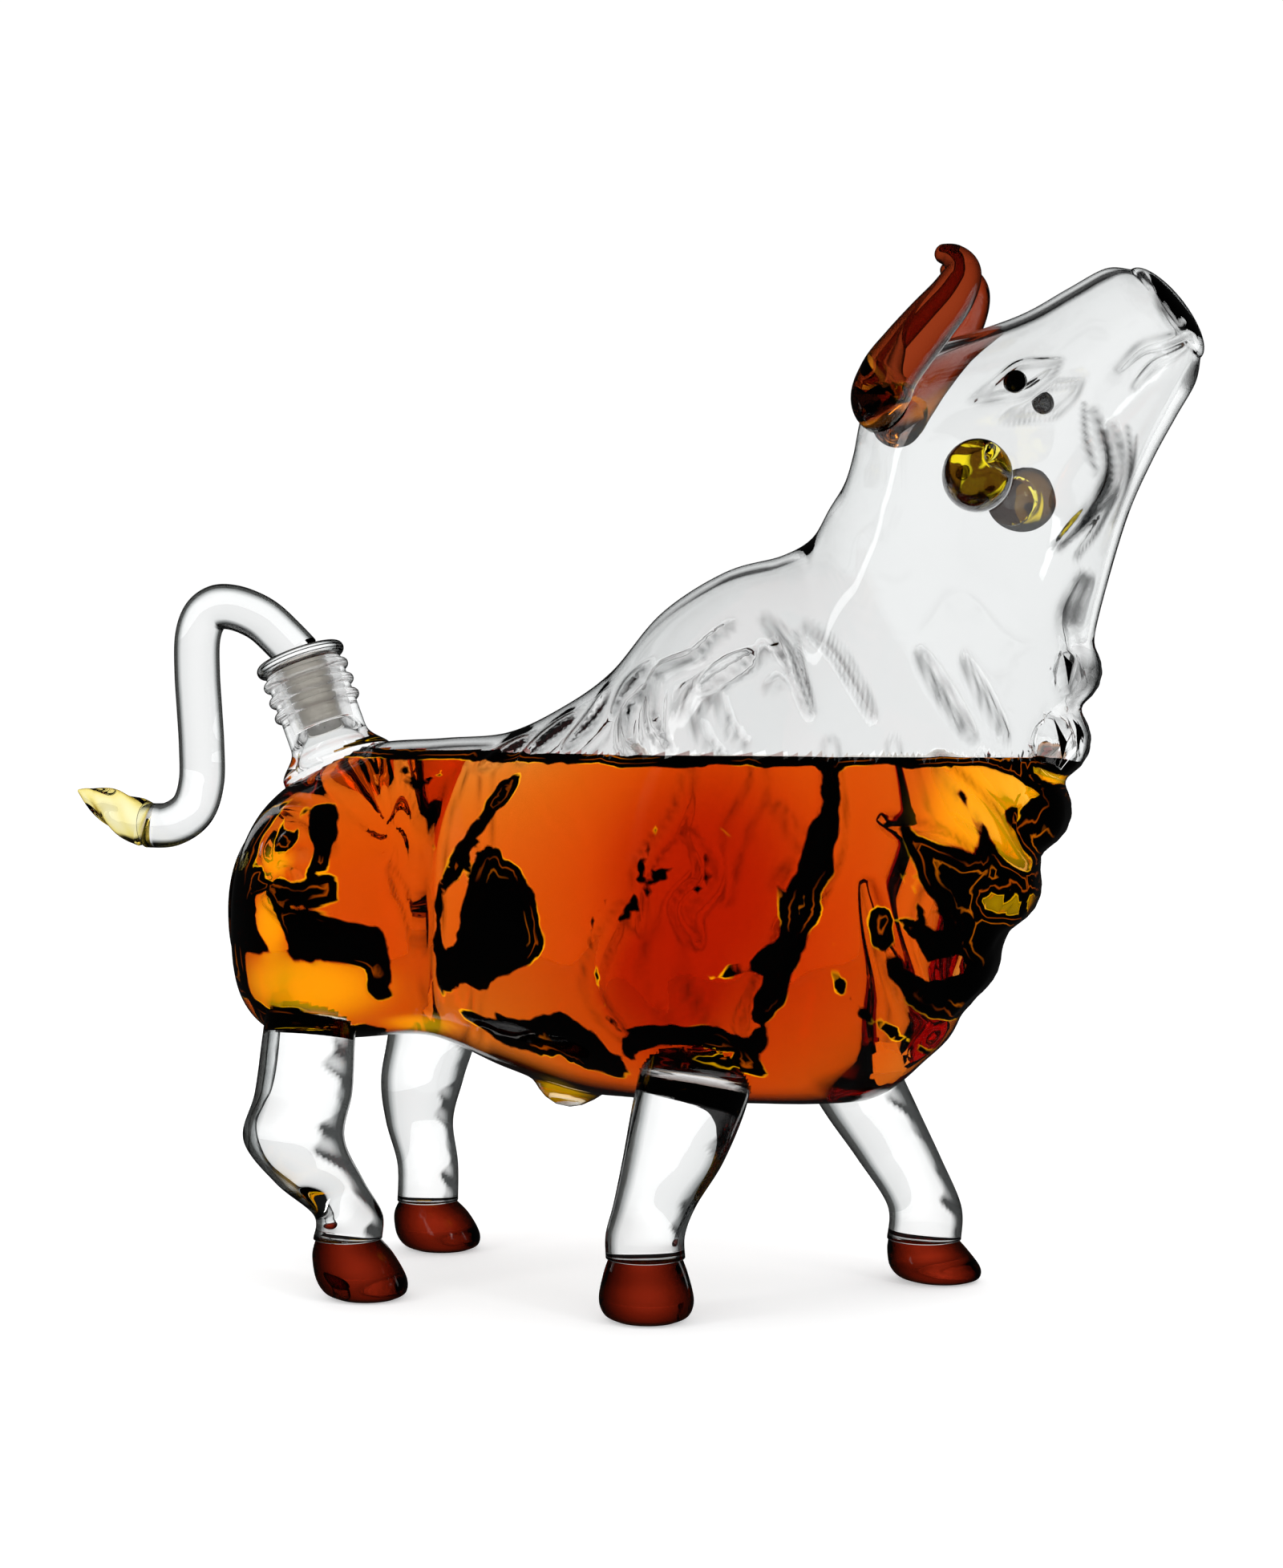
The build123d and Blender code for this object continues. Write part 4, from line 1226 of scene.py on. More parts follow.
    def pool_field(self, x: np.ndarray, z: np.ndarray) -> np.ndarray:
        """Distance to the nearest pool outline in mm, below zero inside, with the edge line on top: painted
        shade.
        """
        farthest, line_depth, line_slope, gap_slope, gap_edge = 12.0, 2.4, 2.0, 1.6, 0.6
        field = np.full(len(x), farthest)
        for outline in self.pools:
            field = np.minimum(field, -depth_inside(x, z, outline))
        for outline in self.gaps:
            field = np.maximum(field, depth_inside(x, z, outline) * gap_slope + gap_edge)
        for run, half_breadth in self.strokes:
            gap, along = near_line(x, z, smooth_rows(np.array(run), 4 * len(run)))
            field = np.minimum(field, gap - half_breadth * np.sin(math.pi * np.clip(along, 0.05, 0.95)) - 0.1)
        # Painted shade: a dark line along the top edge of the drink
        return np.minimum(field, (self.drink_level - line_depth - z) * line_slope)


def fitted(skin: Skin, name: str) -> Skin:
    """Stretch a skin along X and Y so that it fills the CAD box of a node.

    Args:
        skin: The closed skin.
        name: The node.

    Returns:
        The skin, with its breadth and length those of the node.
    """
    low, high = (np.array(corner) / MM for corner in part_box(name))
    least, most = skin.points.min(axis=0), skin.points.max(axis=0)
    scale = np.append(((high - low) / (most - least))[:2], 1.0)
    shift = np.append((low - least * scale)[:2], 0.0)
    return Skin(skin.rings * scale + shift, skin.start * scale + shift, skin.end * scale + shift)


def kept_within(skin: Skin, half_breadth: float, margin: float = 4.0) -> Skin:
    """Draw in what bulges sideways past a half breadth, so that the widest point just meets it.

    Args:
        skin: The closed skin.
        half_breadth: Half of the breadth that it may have, in mm.
        margin: How far inside that the drawing in starts.

    Returns:
        The skin.
    """
    start = half_breadth - margin
    past = np.abs(skin.rings[..., 1]) - start
    most = past.max()
    if most <= margin:
        return skin
    rings = skin.rings.copy()
    drawn = start + past * (margin / most)
    rings[..., 1] = np.where(past > 0.0, np.sign(rings[..., 1]) * drawn, rings[..., 1])
    return skin.with_rings(rings)


def inside_rounds(points: np.ndarray, rounds: np.ndarray, shrink: float) -> np.ndarray:
    """Which points lie within any of the rounds of a limb, each drawn in by shrink.

    Args:
        points: Points in mm, one a row.
        rounds: Centre x, y, z and radius, one a row.
        shrink: How far the radii are drawn in.

    Returns:
        True where a point is inside.
    """
    inside = np.zeros(len(points), dtype=bool)
    for x, y, z, radius in rounds:
        gap = points - np.array([x, y, z])
        inside |= np.einsum("ij,ij->i", gap, gap) < max(radius - shrink, 0.0) ** 2
    return inside


# Fused limbs


@dataclass
class Limb:
    """A drawn glass limb: rounds along its line, as centre x, y, z and diameter in mm."""

    rounds: np.ndarray
    samples: int = 96
    columns: int = 72
    level: bool = True
    aside: tuple[float, float, float] = (1.0, 0.0, 0.0)

    def line(self) -> np.ndarray:
        """Centres and radii along the limb: the rounds joined by a smooth curve."""
        rows = smooth_rows(self.rounds, self.samples)
        rows[:, 3] /= 2.0
        return rows

    def skin(self, end_round: float = 0.0, trim: int = 0) -> Skin:
        """Circles along the line, level or square to it, drawn in at the end like a quarter circle.

        Args:
            end_round: Length over which the end is rounded.
            trim: Rounds left out at the start, which would stand in the hollow of the body.

        Returns:
            The closed skin.
        """
        rows = self.line()[trim:]
        centres, radii = rows[:, :3], rows[:, 3].copy()
        run = np.concatenate([[0.0], np.cumsum(np.linalg.norm(np.diff(centres, axis=0), axis=1))])
        if end_round:
            share = np.clip((run[-1] - run) / end_round, 0.02, 1.0)
            radii *= np.sqrt(1.0 - (1.0 - share) ** 2)
        turn = full_turn(self.columns)
        if self.level:
            first = np.tile([1.0, 0.0, 0.0], (len(rows), 1))
            second = np.tile([0.0, 1.0, 0.0], (len(rows), 1))
        else:
            ahead = unit(np.gradient(centres, axis=0))
            second = unit(np.cross(ahead, np.array(self.aside)))
            first = np.cross(second, ahead)
        circle = np.cos(turn)[None, :, None] * first[:, None] + np.sin(turn)[None, :, None] * second[:, None]
        rings = centres[:, None] + circle * radii[:, None, None]
        return Skin(rings, centres[0], centres[-1])


def placed(shares: Rows, side: float = 1.0, back: float = 0.0) -> np.ndarray:
    """Rounds in mm from shares of the length, the body width, the height and the body width.

    Args:
        shares: Centre x, y, z and diameter as shares, one round a row.
        side: What their y is multiplied by.
        back: Share of the length that they are moved back by.

    Returns:
        The rounds, one a row.
    """
    rounds = np.array(shares)
    rounds[:, 0] -= back
    rounds[:, 1] *= side
    return rounds * np.array([FIGURE_LENGTH, BODY_WIDTH, FIGURE_HEIGHT, BODY_WIDTH])


@dataclass
class Leg:
    """One leg with its hoof: a drawn rod from the belly, and a pressed block of amber glass."""

    name: str
    shares: Rows
    hoof_height: float
    toe: float
    hoof_length: float = 23.0
    hoof_breadth: float = 20.5
    sole_length: float = 15.0
    sole_breadth: float = 14.0
    # Share of the height, of the toe, and of the way from the sole's to the full size, down the hoof
    hoof_shares: tuple[tuple[float, float, float], ...] = (
        (0.72, 0.30, 0.70),
        (0.34, 0.75, 1.00),
        (0.10, 1.00, 0.72),
        (0.00, 1.10, 0.00),
    )
    # The bands of painted shade in front and behind: turn in degrees, half breadth of the core and of all in
    # radians, and darkness
    bands: Rows = ((-8.0, 0.26, 0.42, 1.0), (204.0, 0.12, 0.25, 0.8))

    def limb(self) -> Limb:
        """The rod of the leg, down to the top of the hoof."""
        rounds = placed(self.shares)
        foot = rounds[-1].copy()
        foot[2] = self.hoof_height
        return Limb(np.vstack([rounds, foot]))

    def build(self, finishes: Finishes, body: Skin) -> None:
        """Make the leg and its hoof.

        Args:
            finishes: Materials of the decanter.
            body: Outside of the body, which the leg is fused to.
        """
        leg, hoof = "leg_" + self.name, "hoof_" + self.name
        skin = self.limb().skin()
        rod = Patch(skin, skin.fused_to(body), fan_finish=1)
        shade = ("fold_shade", self.edge_shade(skin))
        make_piece(leg + "_rod", [rod], [finishes.leg, finishes.joint], VESSEL, (leg,), shade)
        block = Patch(fitted(self.hoof_skin(), hoof))
        make_piece(hoof + "_block", [block], [finishes.hoof], VESSEL, (hoof,))

    def edge_shade(self, skin: Skin) -> np.ndarray:
        """Painted shade: dark bands that folds in the worked rod throw along its front and back edges."""
        turn = full_turn(skin.rings.shape[1])[None, :]
        height = skin.rings[..., 2] + 0.3 * skin.rings[..., 0]
        wander = 0.22 * np.sin(height * 0.29 + self.toe) + 0.12 * np.sin(height * 0.83 + self.hoof_height)
        dark = np.zeros_like(height)
        for (degrees, full, end, darkness), sway in zip(self.bands, (-wander, wander)):
            off = np.abs(np.angle(np.exp(1j * (turn - math.radians(degrees) + sway))))
            dark = np.maximum(dark, darkness * (1.0 - smooth_step(full, end, off)))
        return np.clip(dark * (0.92 + 0.28 * np.sin(height * 0.9 + 3.0 * turn)), 0.0, 1.0)

    def hoof_skin(self) -> Skin:
        """Ellipses from the leg down to the flat sole, widest at a third of the height."""
        foot = placed(self.shares)[-1]
        full = np.array([self.hoof_length, self.hoof_breadth])
        flat = np.array([self.sole_length, self.sole_breadth])
        shares = np.array(self.hoof_shares)
        sizes = flat + shares[:, 2:] * (full - flat)
        table = np.column_stack([shares[:, 0] * self.hoof_height, shares[:, 1] * self.toe, sizes])
        table = np.vstack([[self.hoof_height - 0.06, 0.0, foot[3] * 0.92, foot[3] * 0.92], table])
        rows = smooth_rows(table, 40)
        turn = full_turn(72)
        x = foot[0] + rows[:, 1:2] + rows[:, 2:3] / 2.0 * np.cos(turn)
        y = foot[1] + rows[:, 3:4] / 2.0 * np.sin(turn)
        z = np.repeat(np.maximum(rows[:, 0:1], 0.0), len(turn), axis=1)
        rings = np.stack([x, y, z], axis=-1)
        return Skin(rings, rings[0].mean(axis=0), rings[-1].mean(axis=0))


@dataclass
class Horn:
    """A bent amber horn, thick at the brow and drawn out to a blunt tip."""

    side: Side
    back: float = 0.0
    # Length over which the tip is rounded, and rounds left out at the root
    tip_round: float = 1.6
    trim: int = 11
    # Heights over the head between which the yellow of the root ends, and where in front it starts
    root_end: tuple[float, float] = (2.0, 4.5)
    root_start: tuple[float, float] = (-1.0, 3.0)
    shares: Rows = (
        (0.265, 0.090, 0.838, 0.120),
        (0.254, 0.179, 0.851, 0.172),
        (0.262, 0.232, 0.873, 0.166),
        (0.277, 0.226, 0.897, 0.156),
        (0.294, 0.206, 0.922, 0.146),
        (0.310, 0.185, 0.946, 0.130),
        (0.3170, 0.160, 0.9680, 0.106),
        (0.3090, 0.140, 0.9835, 0.076),
        (0.2935, 0.121, 0.9905, 0.044),
    )

    def limb(self) -> Limb:
        """The rod of the horn on its side of the head."""
        return Limb(placed(self.shares, self.side.value, self.back), samples=120, columns=64, level=False)

    def build(self, finishes: Finishes, body: Skin) -> None:
        """Make the horn, its root fused into the wall of the head and yellow in front."""
        name = self.side.of("horn")
        skin = self.limb().skin(self.tip_round, self.trim)
        over = height_over(skin.rings.reshape(-1, 3), body)
        x, z = skin.rings[..., 0], skin.rings[..., 2]
        ahead = 0.8 * (x - x.min()) - (z - z.min())
        root = (1.0 - smooth_step(*self.root_end, over)) * smooth_step(*self.root_start, ahead.ravel())
        rod, looks = Patch(skin, skin.fused_to(body)), [finishes.horn, finishes.horn_joint]
        make_piece(name + "_rod", [rod], looks, VESSEL, (name,), ("root_shade", root))


@dataclass
class Ear:
    """A short cupped ear of honey amber, fused to the side of the head."""

    side: Side
    shares: Rows = (
        (0.335, 0.210, 0.768, 0.110),
        (0.337, 0.290, 0.770, 0.160),
        (0.340, 0.370, 0.774, 0.192),
        (0.344, 0.440, 0.779, 0.170),
        (0.347, 0.485, 0.783, 0.100),
    )
    cup: tuple[float, float, float, float] = (0.366, 0.440, 0.790, 0.130)
    cup_depth: float = 0.9
    rim_round: float = 3.0
    trim: int = 8

    def limb(self) -> Limb:
        """The rod of the ear on its side of the head."""
        return Limb(placed(self.shares, self.side.value), samples=60, columns=64, level=False)

    def build(self, finishes: Finishes, body: Skin) -> None:
        """Make the ear: its rod with a round hollow pressed into the front of its rim."""
        name = self.side.of("ear")
        skin = self.limb().skin(self.rim_round, self.trim)
        cup = placed((self.cup,), self.side.value)[0]
        pressed = np.maximum(cup[3] / 2.0 - np.linalg.norm(skin.rings - cup[:3], axis=-1), 0.0)
        inward = unit(skin.rings.mean(axis=1, keepdims=True) - skin.rings)
        skin = skin.with_rings(skin.rings + inward * (pressed * self.cup_depth)[..., None])
        rod, looks = Patch(skin, skin.fused_to(body)), [finishes.ear, finishes.joint]
        make_piece(name + "_cup", [rod], looks, VESSEL, (name,))


@dataclass
class Eye:
    """A black glass bead set in the wall of the head."""

    side: Side
    diameter: float = 5.6
    rows: int = 32
    columns: int = 48
    pole_turn: float = 0.04

    def build(self, finishes: Finishes) -> None:
        """Make the bead: a sphere of level rings in the middle of its node."""
        name = self.side.of("eye")
        low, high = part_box(name)
        centre = (np.array(low) + np.array(high)) / 2.0 / MM
        tilt = np.linspace(self.pole_turn, math.pi - self.pole_turn, self.rows)[:, None]
        turn = full_turn(self.columns)[None, :]
        level = np.sin(tilt)
        ball = np.stack([level * np.cos(turn), level * np.sin(turn), np.cos(tilt) + 0 * turn], axis=-1)
        radius = self.diameter / 2.0
        up = np.array([0.0, 0.0, radius])
        skin = Skin(centre + ball * radius, centre + up, centre - up)
        make_piece(name + "_bead", [Patch(skin)], [finishes.eye], VESSEL, (name,))


# Neck and stopper


@dataclass
class BottleNeck:
    """The mouth of the bottle: a tube with three beads, ground inside, standing on the rump."""

    outer_d: float = 20.6
    tilt: float = 21.5
    length: float = 27.0
    root_d: float = 30.0
    bead_d: float = 2.6
    bead_pitch: float = 4.3
    bead_first: float = 2.4
    beads: int = 3
    lip: float = 0.8
    ground_mouth_d: float = 12.6
    ground_length: float = 16.5
    # How much a radius of the ground seat shrinks for each mm of depth
    taper: float = 0.05
    throat_d: float = 26.6
    # Where the root starts and ends to spread, as shares of the length, and how suddenly it does
    spread: tuple[float, float] = (-0.70, -1.02)
    spread_power: float = 1.6
    # How far the tube, the widening of its inside and the opening in the wall go on below the length
    tube_below: float = 5.0
    throat_below: float = 9.0
    opening_below: float = 12.0
    mouth: tuple[float, float, float] = (-82.5, 0.0, 157.541)

    def axis(self) -> tuple[np.ndarray, np.ndarray, np.ndarray]:
        """Direction up the neck and two directions square to it."""
        tilt = math.radians(self.tilt)
        up = np.array([-math.sin(tilt), 0.0, math.cos(tilt)])
        out = np.array([math.cos(tilt), 0.0, math.sin(tilt)])
        return up, out, np.array([0.0, 1.0, 0.0])

    def at(self, height: float | np.ndarray) -> np.ndarray:
        """Points on the axis at a height over the mouth."""
        return np.array(self.mouth) + height * self.axis()[0]

    def turned(self, profile: np.ndarray, columns: int = 120) -> Skin:
        """Turn a profile of radius and height about the neck's axis.

        Args:
            profile: Radius and height rows, in mm from the mouth.
            columns: Points a ring.

        Returns:
            The closed skin.
        """
        _, out, across = self.axis()
        turn = full_turn(columns)
        circle = np.cos(turn)[:, None] * out + np.sin(turn)[:, None] * across
        centre = self.at(profile[:, 1:2])
        rings = centre[:, None] + profile[:, 0][:, None, None] * circle[None]
        return Skin(rings, centre[0], centre[-1])

    def outer_profile(self) -> np.ndarray:
        """Radius against height outside: a cylinder, half round beads, and a spreading root."""
        height = np.linspace(0.0, -self.length - self.tube_below, 260)
        wall, bead_radius = self.outer_d / 2.0, self.bead_d / 2.0
        start, end = self.spread
        spread = smooth_step(start * self.length, end * self.length, height)
        radius = wall + (self.root_d - self.outer_d) / 2.0 * spread**self.spread_power
        for bead in range(self.beads):
            gap = (height + self.bead_first + self.bead_pitch * bead) / bead_radius
            radius = np.maximum(radius, wall + bead_radius * np.sqrt(np.maximum(1.0 - gap * gap, 0.0)))
        edge = np.clip(-height / self.lip, 0.0, 1.0)
        return np.column_stack([radius - self.lip * (1.0 - np.sqrt(1.0 - (1.0 - edge) ** 2)), height])

    def build(self, finishes: Finishes, body: Skin) -> np.ndarray:
        """Make the neck as one skin that runs down outside and up again inside.

        Args:
            finishes: Materials of the decanter.
            body: Outside of the body.

        Returns:
            Rounds of the throat, for the openings in the wall.
        """
        steps = 40
        outside = self.outer_profile()
        ground_end = self.ground_mouth_d / 2.0 - self.taper * self.ground_length
        slope = (self.throat_d / 2.0 - ground_end) / (self.length + self.throat_below - self.ground_length)
        throat = np.linspace(outside[-1, 1], -self.ground_length, steps)
        seat = np.linspace(-self.ground_length, 0.0, steps)
        widths = ground_end + slope * (-throat - self.ground_length)
        ground = ground_end - self.taper * (-seat - self.ground_length)
        inside = np.column_stack([np.append(widths, ground), np.append(throat, seat)])
        rings = self.turned(np.vstack([outside, inside])).rings
        points = rings.reshape(-1, 3)
        index = np.arange(len(points)).reshape(rings.shape[:2])
        across, below = np.roll(index, -1, axis=1), np.roll(index, -1, axis=0)
        quads = np.stack([index, across, np.roll(across, -1, axis=0), below], axis=-1).reshape(-1, 4)
        if inside_out(points, quads):
            quads = quads[:, ::-1]
        heights = height_over(points, body).reshape(index.shape)
        ring_finish = np.where(np.arange(len(rings)) >= len(outside) + steps, 1, 0)
        numbers = np.where(heights < JOINT_HEIGHT, 2, ring_finish[:, None]).ravel()
        looks = [finishes.wall, finishes.ground, finishes.joint]
        tube = add_mesh("neck_tube", points, quads.tolist(), looks, numbers)
        tie(tube, VESSEL, ("bottle_neck",))
        down = np.linspace(-self.length * 0.6, -self.length - self.opening_below, 10)
        return np.column_stack([self.at(down[:, None]), np.full(len(down), self.root_d / 2.0)])


@dataclass
class Stopper:
    """The ground stopper with its tail: a tapered plug, a round flange, a bent rod and a tuft."""

    neck: BottleNeck
    flange_d: float = 23.8
    flange_thickness: float = 3.4
    seat_gap: float = 0.3
    plug_clearance: float = 0.15
    # Grinding marks round the plug: depth and pitch
    groove: float = 0.05
    groove_pitch: float = 1.1
    # How much shorter than the seat the plug is, its bevel below and its shoulder under the flange
    plug_short: float = 0.8
    bevel: float = 1.6
    shoulder: float = 0.4
    tail_d: float = 12.0
    tail_shares: Line = (
        (-0.2930, 0.6415),
        (-0.3102, 0.6590),
        (-0.3256, 0.6690),
        (-0.3433, 0.6755),
        (-0.3590, 0.6755),
        (-0.3715, 0.6650),
        (-0.3780, 0.6430),
        (-0.3783, 0.6072),
        (-0.3762, 0.5700),
        (-0.3742, 0.5323),
        (-0.3745, 0.4950),
        (-0.3835, 0.4665),
        (-0.4045, 0.4510),
        (-0.4287, 0.4494),
    )
    tuft_shares: Rows = (
        (-0.4287, 0.4494, 1.00, 1.00),
        (-0.4450, 0.4575, 1.04, 0.95),
        (-0.4615, 0.4665, 0.92, 0.80),
        (-0.4770, 0.4745, 0.66, 0.54),
        (-0.4895, 0.4808, 0.36, 0.30),
        (-0.4986, 0.4853, 0.06, 0.06),
    )
    # Furrows of the tuft: depth as a share of the radius, turn from its foot to its tip in radians
    furrow: float = 0.20
    furrow_turn: float = 6.0

    def build(self, finishes: Finishes) -> None:
        """Make the plug with its flange, the tail rod and the tuft."""
        self.build_plug(finishes)
        self.build_tail(finishes)
        self.build_tuft(finishes)

    def build_plug(self, finishes: Finishes) -> None:
        """Make the plug: fine ground rings on the taper, fire polished round the flange."""
        columns, seat_rows, crown_rows, middle = 96, 220, 11, 0.3
        plug_length = self.neck.ground_length - self.plug_short
        mouth = self.neck.ground_mouth_d / 2.0 - self.plug_clearance
        seat = np.linspace(-plug_length, -0.2, seat_rows)
        grooves = self.groove * np.sin(seat * 2.0 * math.pi / self.groove_pitch) - self.groove
        taper = np.column_stack([mouth - self.neck.taper * (-seat) + grooves, seat])
        turn = np.linspace(-math.pi / 2.0, math.pi / 2.0, 40)
        half = self.flange_thickness / 2.0
        rim = self.flange_d / 2.0 - half
        bulge = np.column_stack([rim + half * np.cos(turn), self.seat_gap + half + half * np.sin(turn)])
        top = np.full(crown_rows, self.seat_gap + self.flange_thickness)
        crown = np.column_stack([np.linspace(rim, middle, crown_rows + 1)[1:], top])
        bottom = [[middle, -plug_length], [mouth - self.bevel, -plug_length]]
        profile = np.vstack([bottom, taper, [[mouth + self.shoulder, self.seat_gap]], bulge, crown])
        row_finish = np.where(np.arange(len(profile) - 1) < len(bottom) + seat_rows, 0, 1)
        plug = Patch(self.neck.turned(profile, columns), np.repeat(row_finish, columns), fan_finish=1)
        looks = [finishes.ground, finishes.rod]
        make_piece("ground_plug", [plug], looks, STOPPER, ("stopper_plug",))

    def build_tail(self, finishes: Finishes) -> None:
        """Make the bent rod that is the handle, its foot flared onto the flange."""
        height = self.seat_gap + self.flange_thickness
        places = np.array([(x * FIGURE_LENGTH, 0.0, z * FIGURE_HEIGHT) for x, z in self.tail_shares])
        line = np.vstack([self.neck.at(height), places])
        rounds = np.column_stack([line, np.full(len(line), self.tail_d)])
        skin = Limb(rounds, samples=220, columns=72, level=False, aside=(0.0, 1.0, 0.0)).skin()
        up, _, _ = self.neck.axis()
        under = np.minimum((skin.rings - self.neck.at(height + 0.02)) @ up, 0.0)
        under[len(under) // 6 :] = 0.0
        rings = skin.rings - under[..., None] * up
        rod = Patch(Skin(rings, rings[0].mean(axis=0), skin.end), 0, fan_finish=1)
        looks = [finishes.rod, finishes.joint]
        make_piece("tail_handle", [rod], looks, STOPPER, ("tail_rod",))

    def build_tuft(self, finishes: Finishes) -> None:
        """Make the tuft: ellipses that shrink to a tip and turn a little as they go, like a flame."""
        radius = self.tail_d / 2.0
        scale = np.array([FIGURE_LENGTH, FIGURE_HEIGHT, radius, radius])
        rows = smooth_rows(np.array(self.tuft_shares) * scale, 90)
        centres = np.column_stack([rows[:, 0], np.zeros(len(rows)), rows[:, 1]])
        ahead = unit(np.gradient(centres, axis=0))
        across = np.tile([0.0, 1.0, 0.0], (len(rows), 1))
        high = np.cross(ahead, across)
        turn = full_turn(72)
        share = np.linspace(0.0, 1.0, len(rows))[:, None]
        furrows = np.sin(2.0 * turn[None] + self.furrow_turn * share) ** 2
        wave = 1.0 - self.furrow * furrows * np.sin(math.pi * share)
        rings = (
            centres[:, None]
            + (rows[:, 2:3] * np.cos(turn) * wave)[..., None] * high[:, None]
            + (rows[:, 3:4] * np.sin(turn) * wave)[..., None] * across[:, None]
        )
        tuft = Patch(Skin(rings, centres[0], centres[-1]))
        make_piece("tail_flame", [tuft], [finishes.tuft], STOPPER, ("tail_tuft",))


# The studio


@dataclass(frozen=True)
class SoftBox:
    """A soft box: where it stands in m, how it is turned in degrees, its breadth and height in m."""

    name: str
    place: tuple[float, float, float]
    turn: tuple[float, float, float]
    size: tuple[float, float]
    power: float = 2.0

    def build(self) -> None:
        """Hang the lamp; glass does not mirror it."""
        lamp = bpy.data.lights.new(self.name, "AREA")
        lamp.shape = "RECTANGLE"
        lamp.size, lamp.size_y = self.size
        lamp.energy = self.power
        holder = add_object(self.name, lamp)
        holder.location = self.place
        holder.rotation_euler = tuple(math.radians(a) for a in self.turn)
        holder.visible_glossy = False


@dataclass
class Studio:
    """Pale floor, white surroundings with a dim ceiling for the glass, soft boxes and the camera."""

    lens_mm: float = 58.65
    sensor_mm: float = 36.0
    camera_place: tuple[float, float, float] = (209.9, -611.8, 140.0)
    camera_turn: float = 18.0
    camera_dip: float = 1.12
    floor_reach: float = 6.0
    floor_height: float = -1e-4
    light_strength: float = 1.02
    dark: tuple[float, float, float, float] = (0.01, 0.01, 0.01, 1.0)
    # How far up the ceiling starts and is full, as the z of a direction
    ceiling: tuple[float, float] = (0.42, 0.60)
    bounces: int = 24
    soft_boxes: tuple[SoftBox, ...] = (
        SoftBox("soft_box_left", (-0.75, -0.9, 0.85), (55.0, 0.0, -38.0), (0.14, 0.9)),
        SoftBox("soft_box_right", (1.05, -0.55, 0.9), (58.0, 0.0, 62.0), (0.12, 0.8)),
    )

    def build(self, finishes: Finishes) -> None:
        """Set up floor, surroundings, lights and camera."""
        self.build_floor(finishes)
        self.build_world()
        for box in self.soft_boxes:
            box.build()
        self.build_camera()
        scene = bpy.context.scene
        scene.view_settings.view_transform = "Standard"
        scene.cycles.max_bounces = self.bounces
        scene.cycles.transmission_bounces = self.bounces
        scene.cycles.transparent_max_bounces = self.bounces
        scene.cycles.use_denoising = True

    def build_floor(self, finishes: Finishes) -> None:
        """Lay the floor just under the hooves."""
        corners = ((-1, -1), (1, -1), (1, 1), (-1, 1))
        mesh = bpy.data.meshes.new("studio_floor")
        points = [(x * self.floor_reach, y * self.floor_reach, self.floor_height) for x, y in corners]
        mesh.from_pydata(points, [], [(0, 1, 2, 3)])
        mesh.materials.append(finishes.floor)
        floor = add_object("studio_floor", mesh)

    def build_world(self) -> None:
        """White all round; the ceiling is dark in what the glass bends, and the room in what it mirrors."""
        world = bpy.data.worlds.new("studio_world")
        world.use_nodes = True
        graph = Graph(world.node_tree)
        up = graph.add("SeparateXYZ", {0: graph.place("Generated")}).outputs["Z"]
        bent_ray = graph.add("LightPath").outputs["Is Transmission Ray"]
        bent = graph.math("MULTIPLY", graph.share(up, *self.ceiling), bent_ray)
        colour = graph.mix(graph.math("MAXIMUM", bent, graph.mirrored()), WHITE, self.dark)
        light = graph.add("Background", {"Color": colour, "Strength": self.light_strength})
        output = graph.add("OutputWorld", {"Surface": light.outputs[0]})
        output.is_active_output = True
        bpy.context.scene.world = world

    def build_camera(self) -> None:
        """Stand the camera where the photograph was taken from."""
        camera = bpy.data.cameras.new("camera")
        camera.sensor_width = self.sensor_mm
        camera.lens = self.lens_mm
        camera.clip_start = 0.01
        camera.clip_end = 50.0
        holder = add_object("camera", camera)
        holder.location = tuple(value * MM for value in self.camera_place)
        holder.rotation_euler = (math.radians(90.0 - self.camera_dip), 0.0, math.radians(self.camera_turn))
        bpy.context.scene.camera = holder


# The whole object


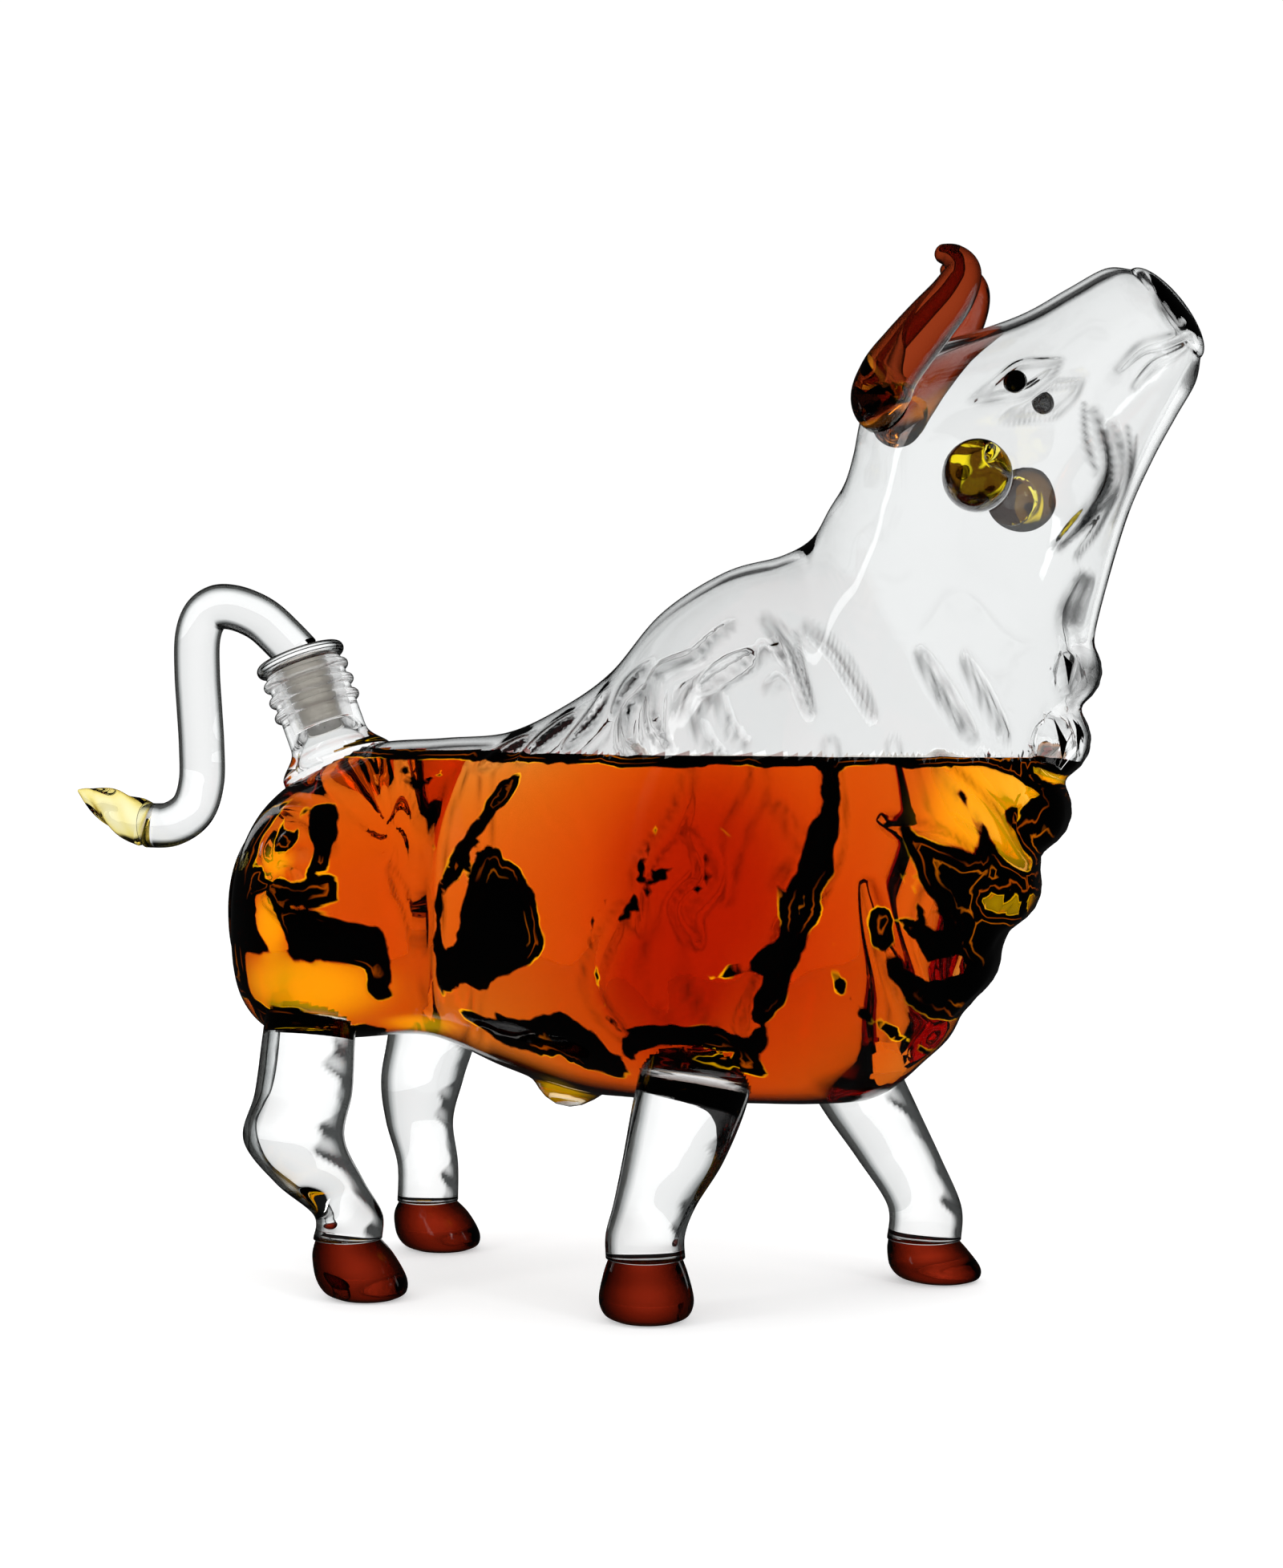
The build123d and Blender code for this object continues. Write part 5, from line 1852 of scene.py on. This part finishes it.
@dataclass
class Decanter:
    """All pieces of the decanter in the order they are put together."""

    legs: tuple[Leg, ...] = (
        Leg("front_right", (
            (0.122, -0.268, 0.320, 0.300), (0.119, -0.337, 0.262, 0.321), (0.112, -0.375, 0.205, 0.326),
            (0.099, -0.390, 0.150, 0.289), (0.084, -0.392, 0.108, 0.238), (0.076, -0.392, 0.080, 0.227),
        ), 15.0, 0.3),
        Leg("front_left", (
            (0.163, 0.268, 0.320, 0.300), (0.184, 0.337, 0.232, 0.317), (0.209, 0.375, 0.170, 0.296),
            (0.234, 0.390, 0.120, 0.259), (0.256, 0.392, 0.074, 0.226),
        ), 10.5, 4.0),
        Leg("rear_right", (
            (-0.224, -0.289, 0.320, 0.270), (-0.222, -0.362, 0.250, 0.276), (-0.226, -0.369, 0.196, 0.290),
            (-0.235, -0.369, 0.150, 0.300), (-0.212, -0.369, 0.110, 0.262), (-0.186, -0.369, 0.080, 0.204),
        ), 14.5, 4.8),
        Leg("rear_left", (
            (-0.190, 0.289, 0.320, 0.281), (-0.194, 0.362, 0.240, 0.291), (-0.206, 0.369, 0.180, 0.268),
            (-0.209, 0.369, 0.135, 0.219), (-0.201, 0.369, 0.090, 0.197),
        ), 13.0, 4.0),
    )
    # How much further back the left horn stands, as a share of the length
    left_horn_back: float = 0.010

    def build(self, finishes: Finishes) -> None:
        """Build every piece, the body last because the others open its wall."""
        body = BlownBody()
        outer = body.outer_skin()
        neck = BottleNeck()
        joined = []
        for leg in self.legs:
            leg.build(finishes, outer)
            joined.append(leg.limb().line())
        for side in Side:
            horn = Horn(side, self.left_horn_back if side is Side.LEFT else 0.0)
            ear = Ear(side)
            horn.build(finishes, outer)
            ear.build(finishes, outer)
            Eye(side).build(finishes)
            joined += [horn.limb().line(), ear.limb().line()]
        joined.append(neck.build(finishes, outer))
        Stopper(neck).build(finishes)
        body.build(finishes, outer, joined)
        body.build_drink(finishes)


def main() -> None:
    """Load the frame, build the decanter and the studio, and log each piece as it is made."""
    logging.basicConfig(level=logging.INFO, format="%(name)s: %(message)s")
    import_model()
    finishes = Finishes()
    Decanter().build(finishes)
    Studio().build(finishes)


if __name__ == "__main__":
    main()
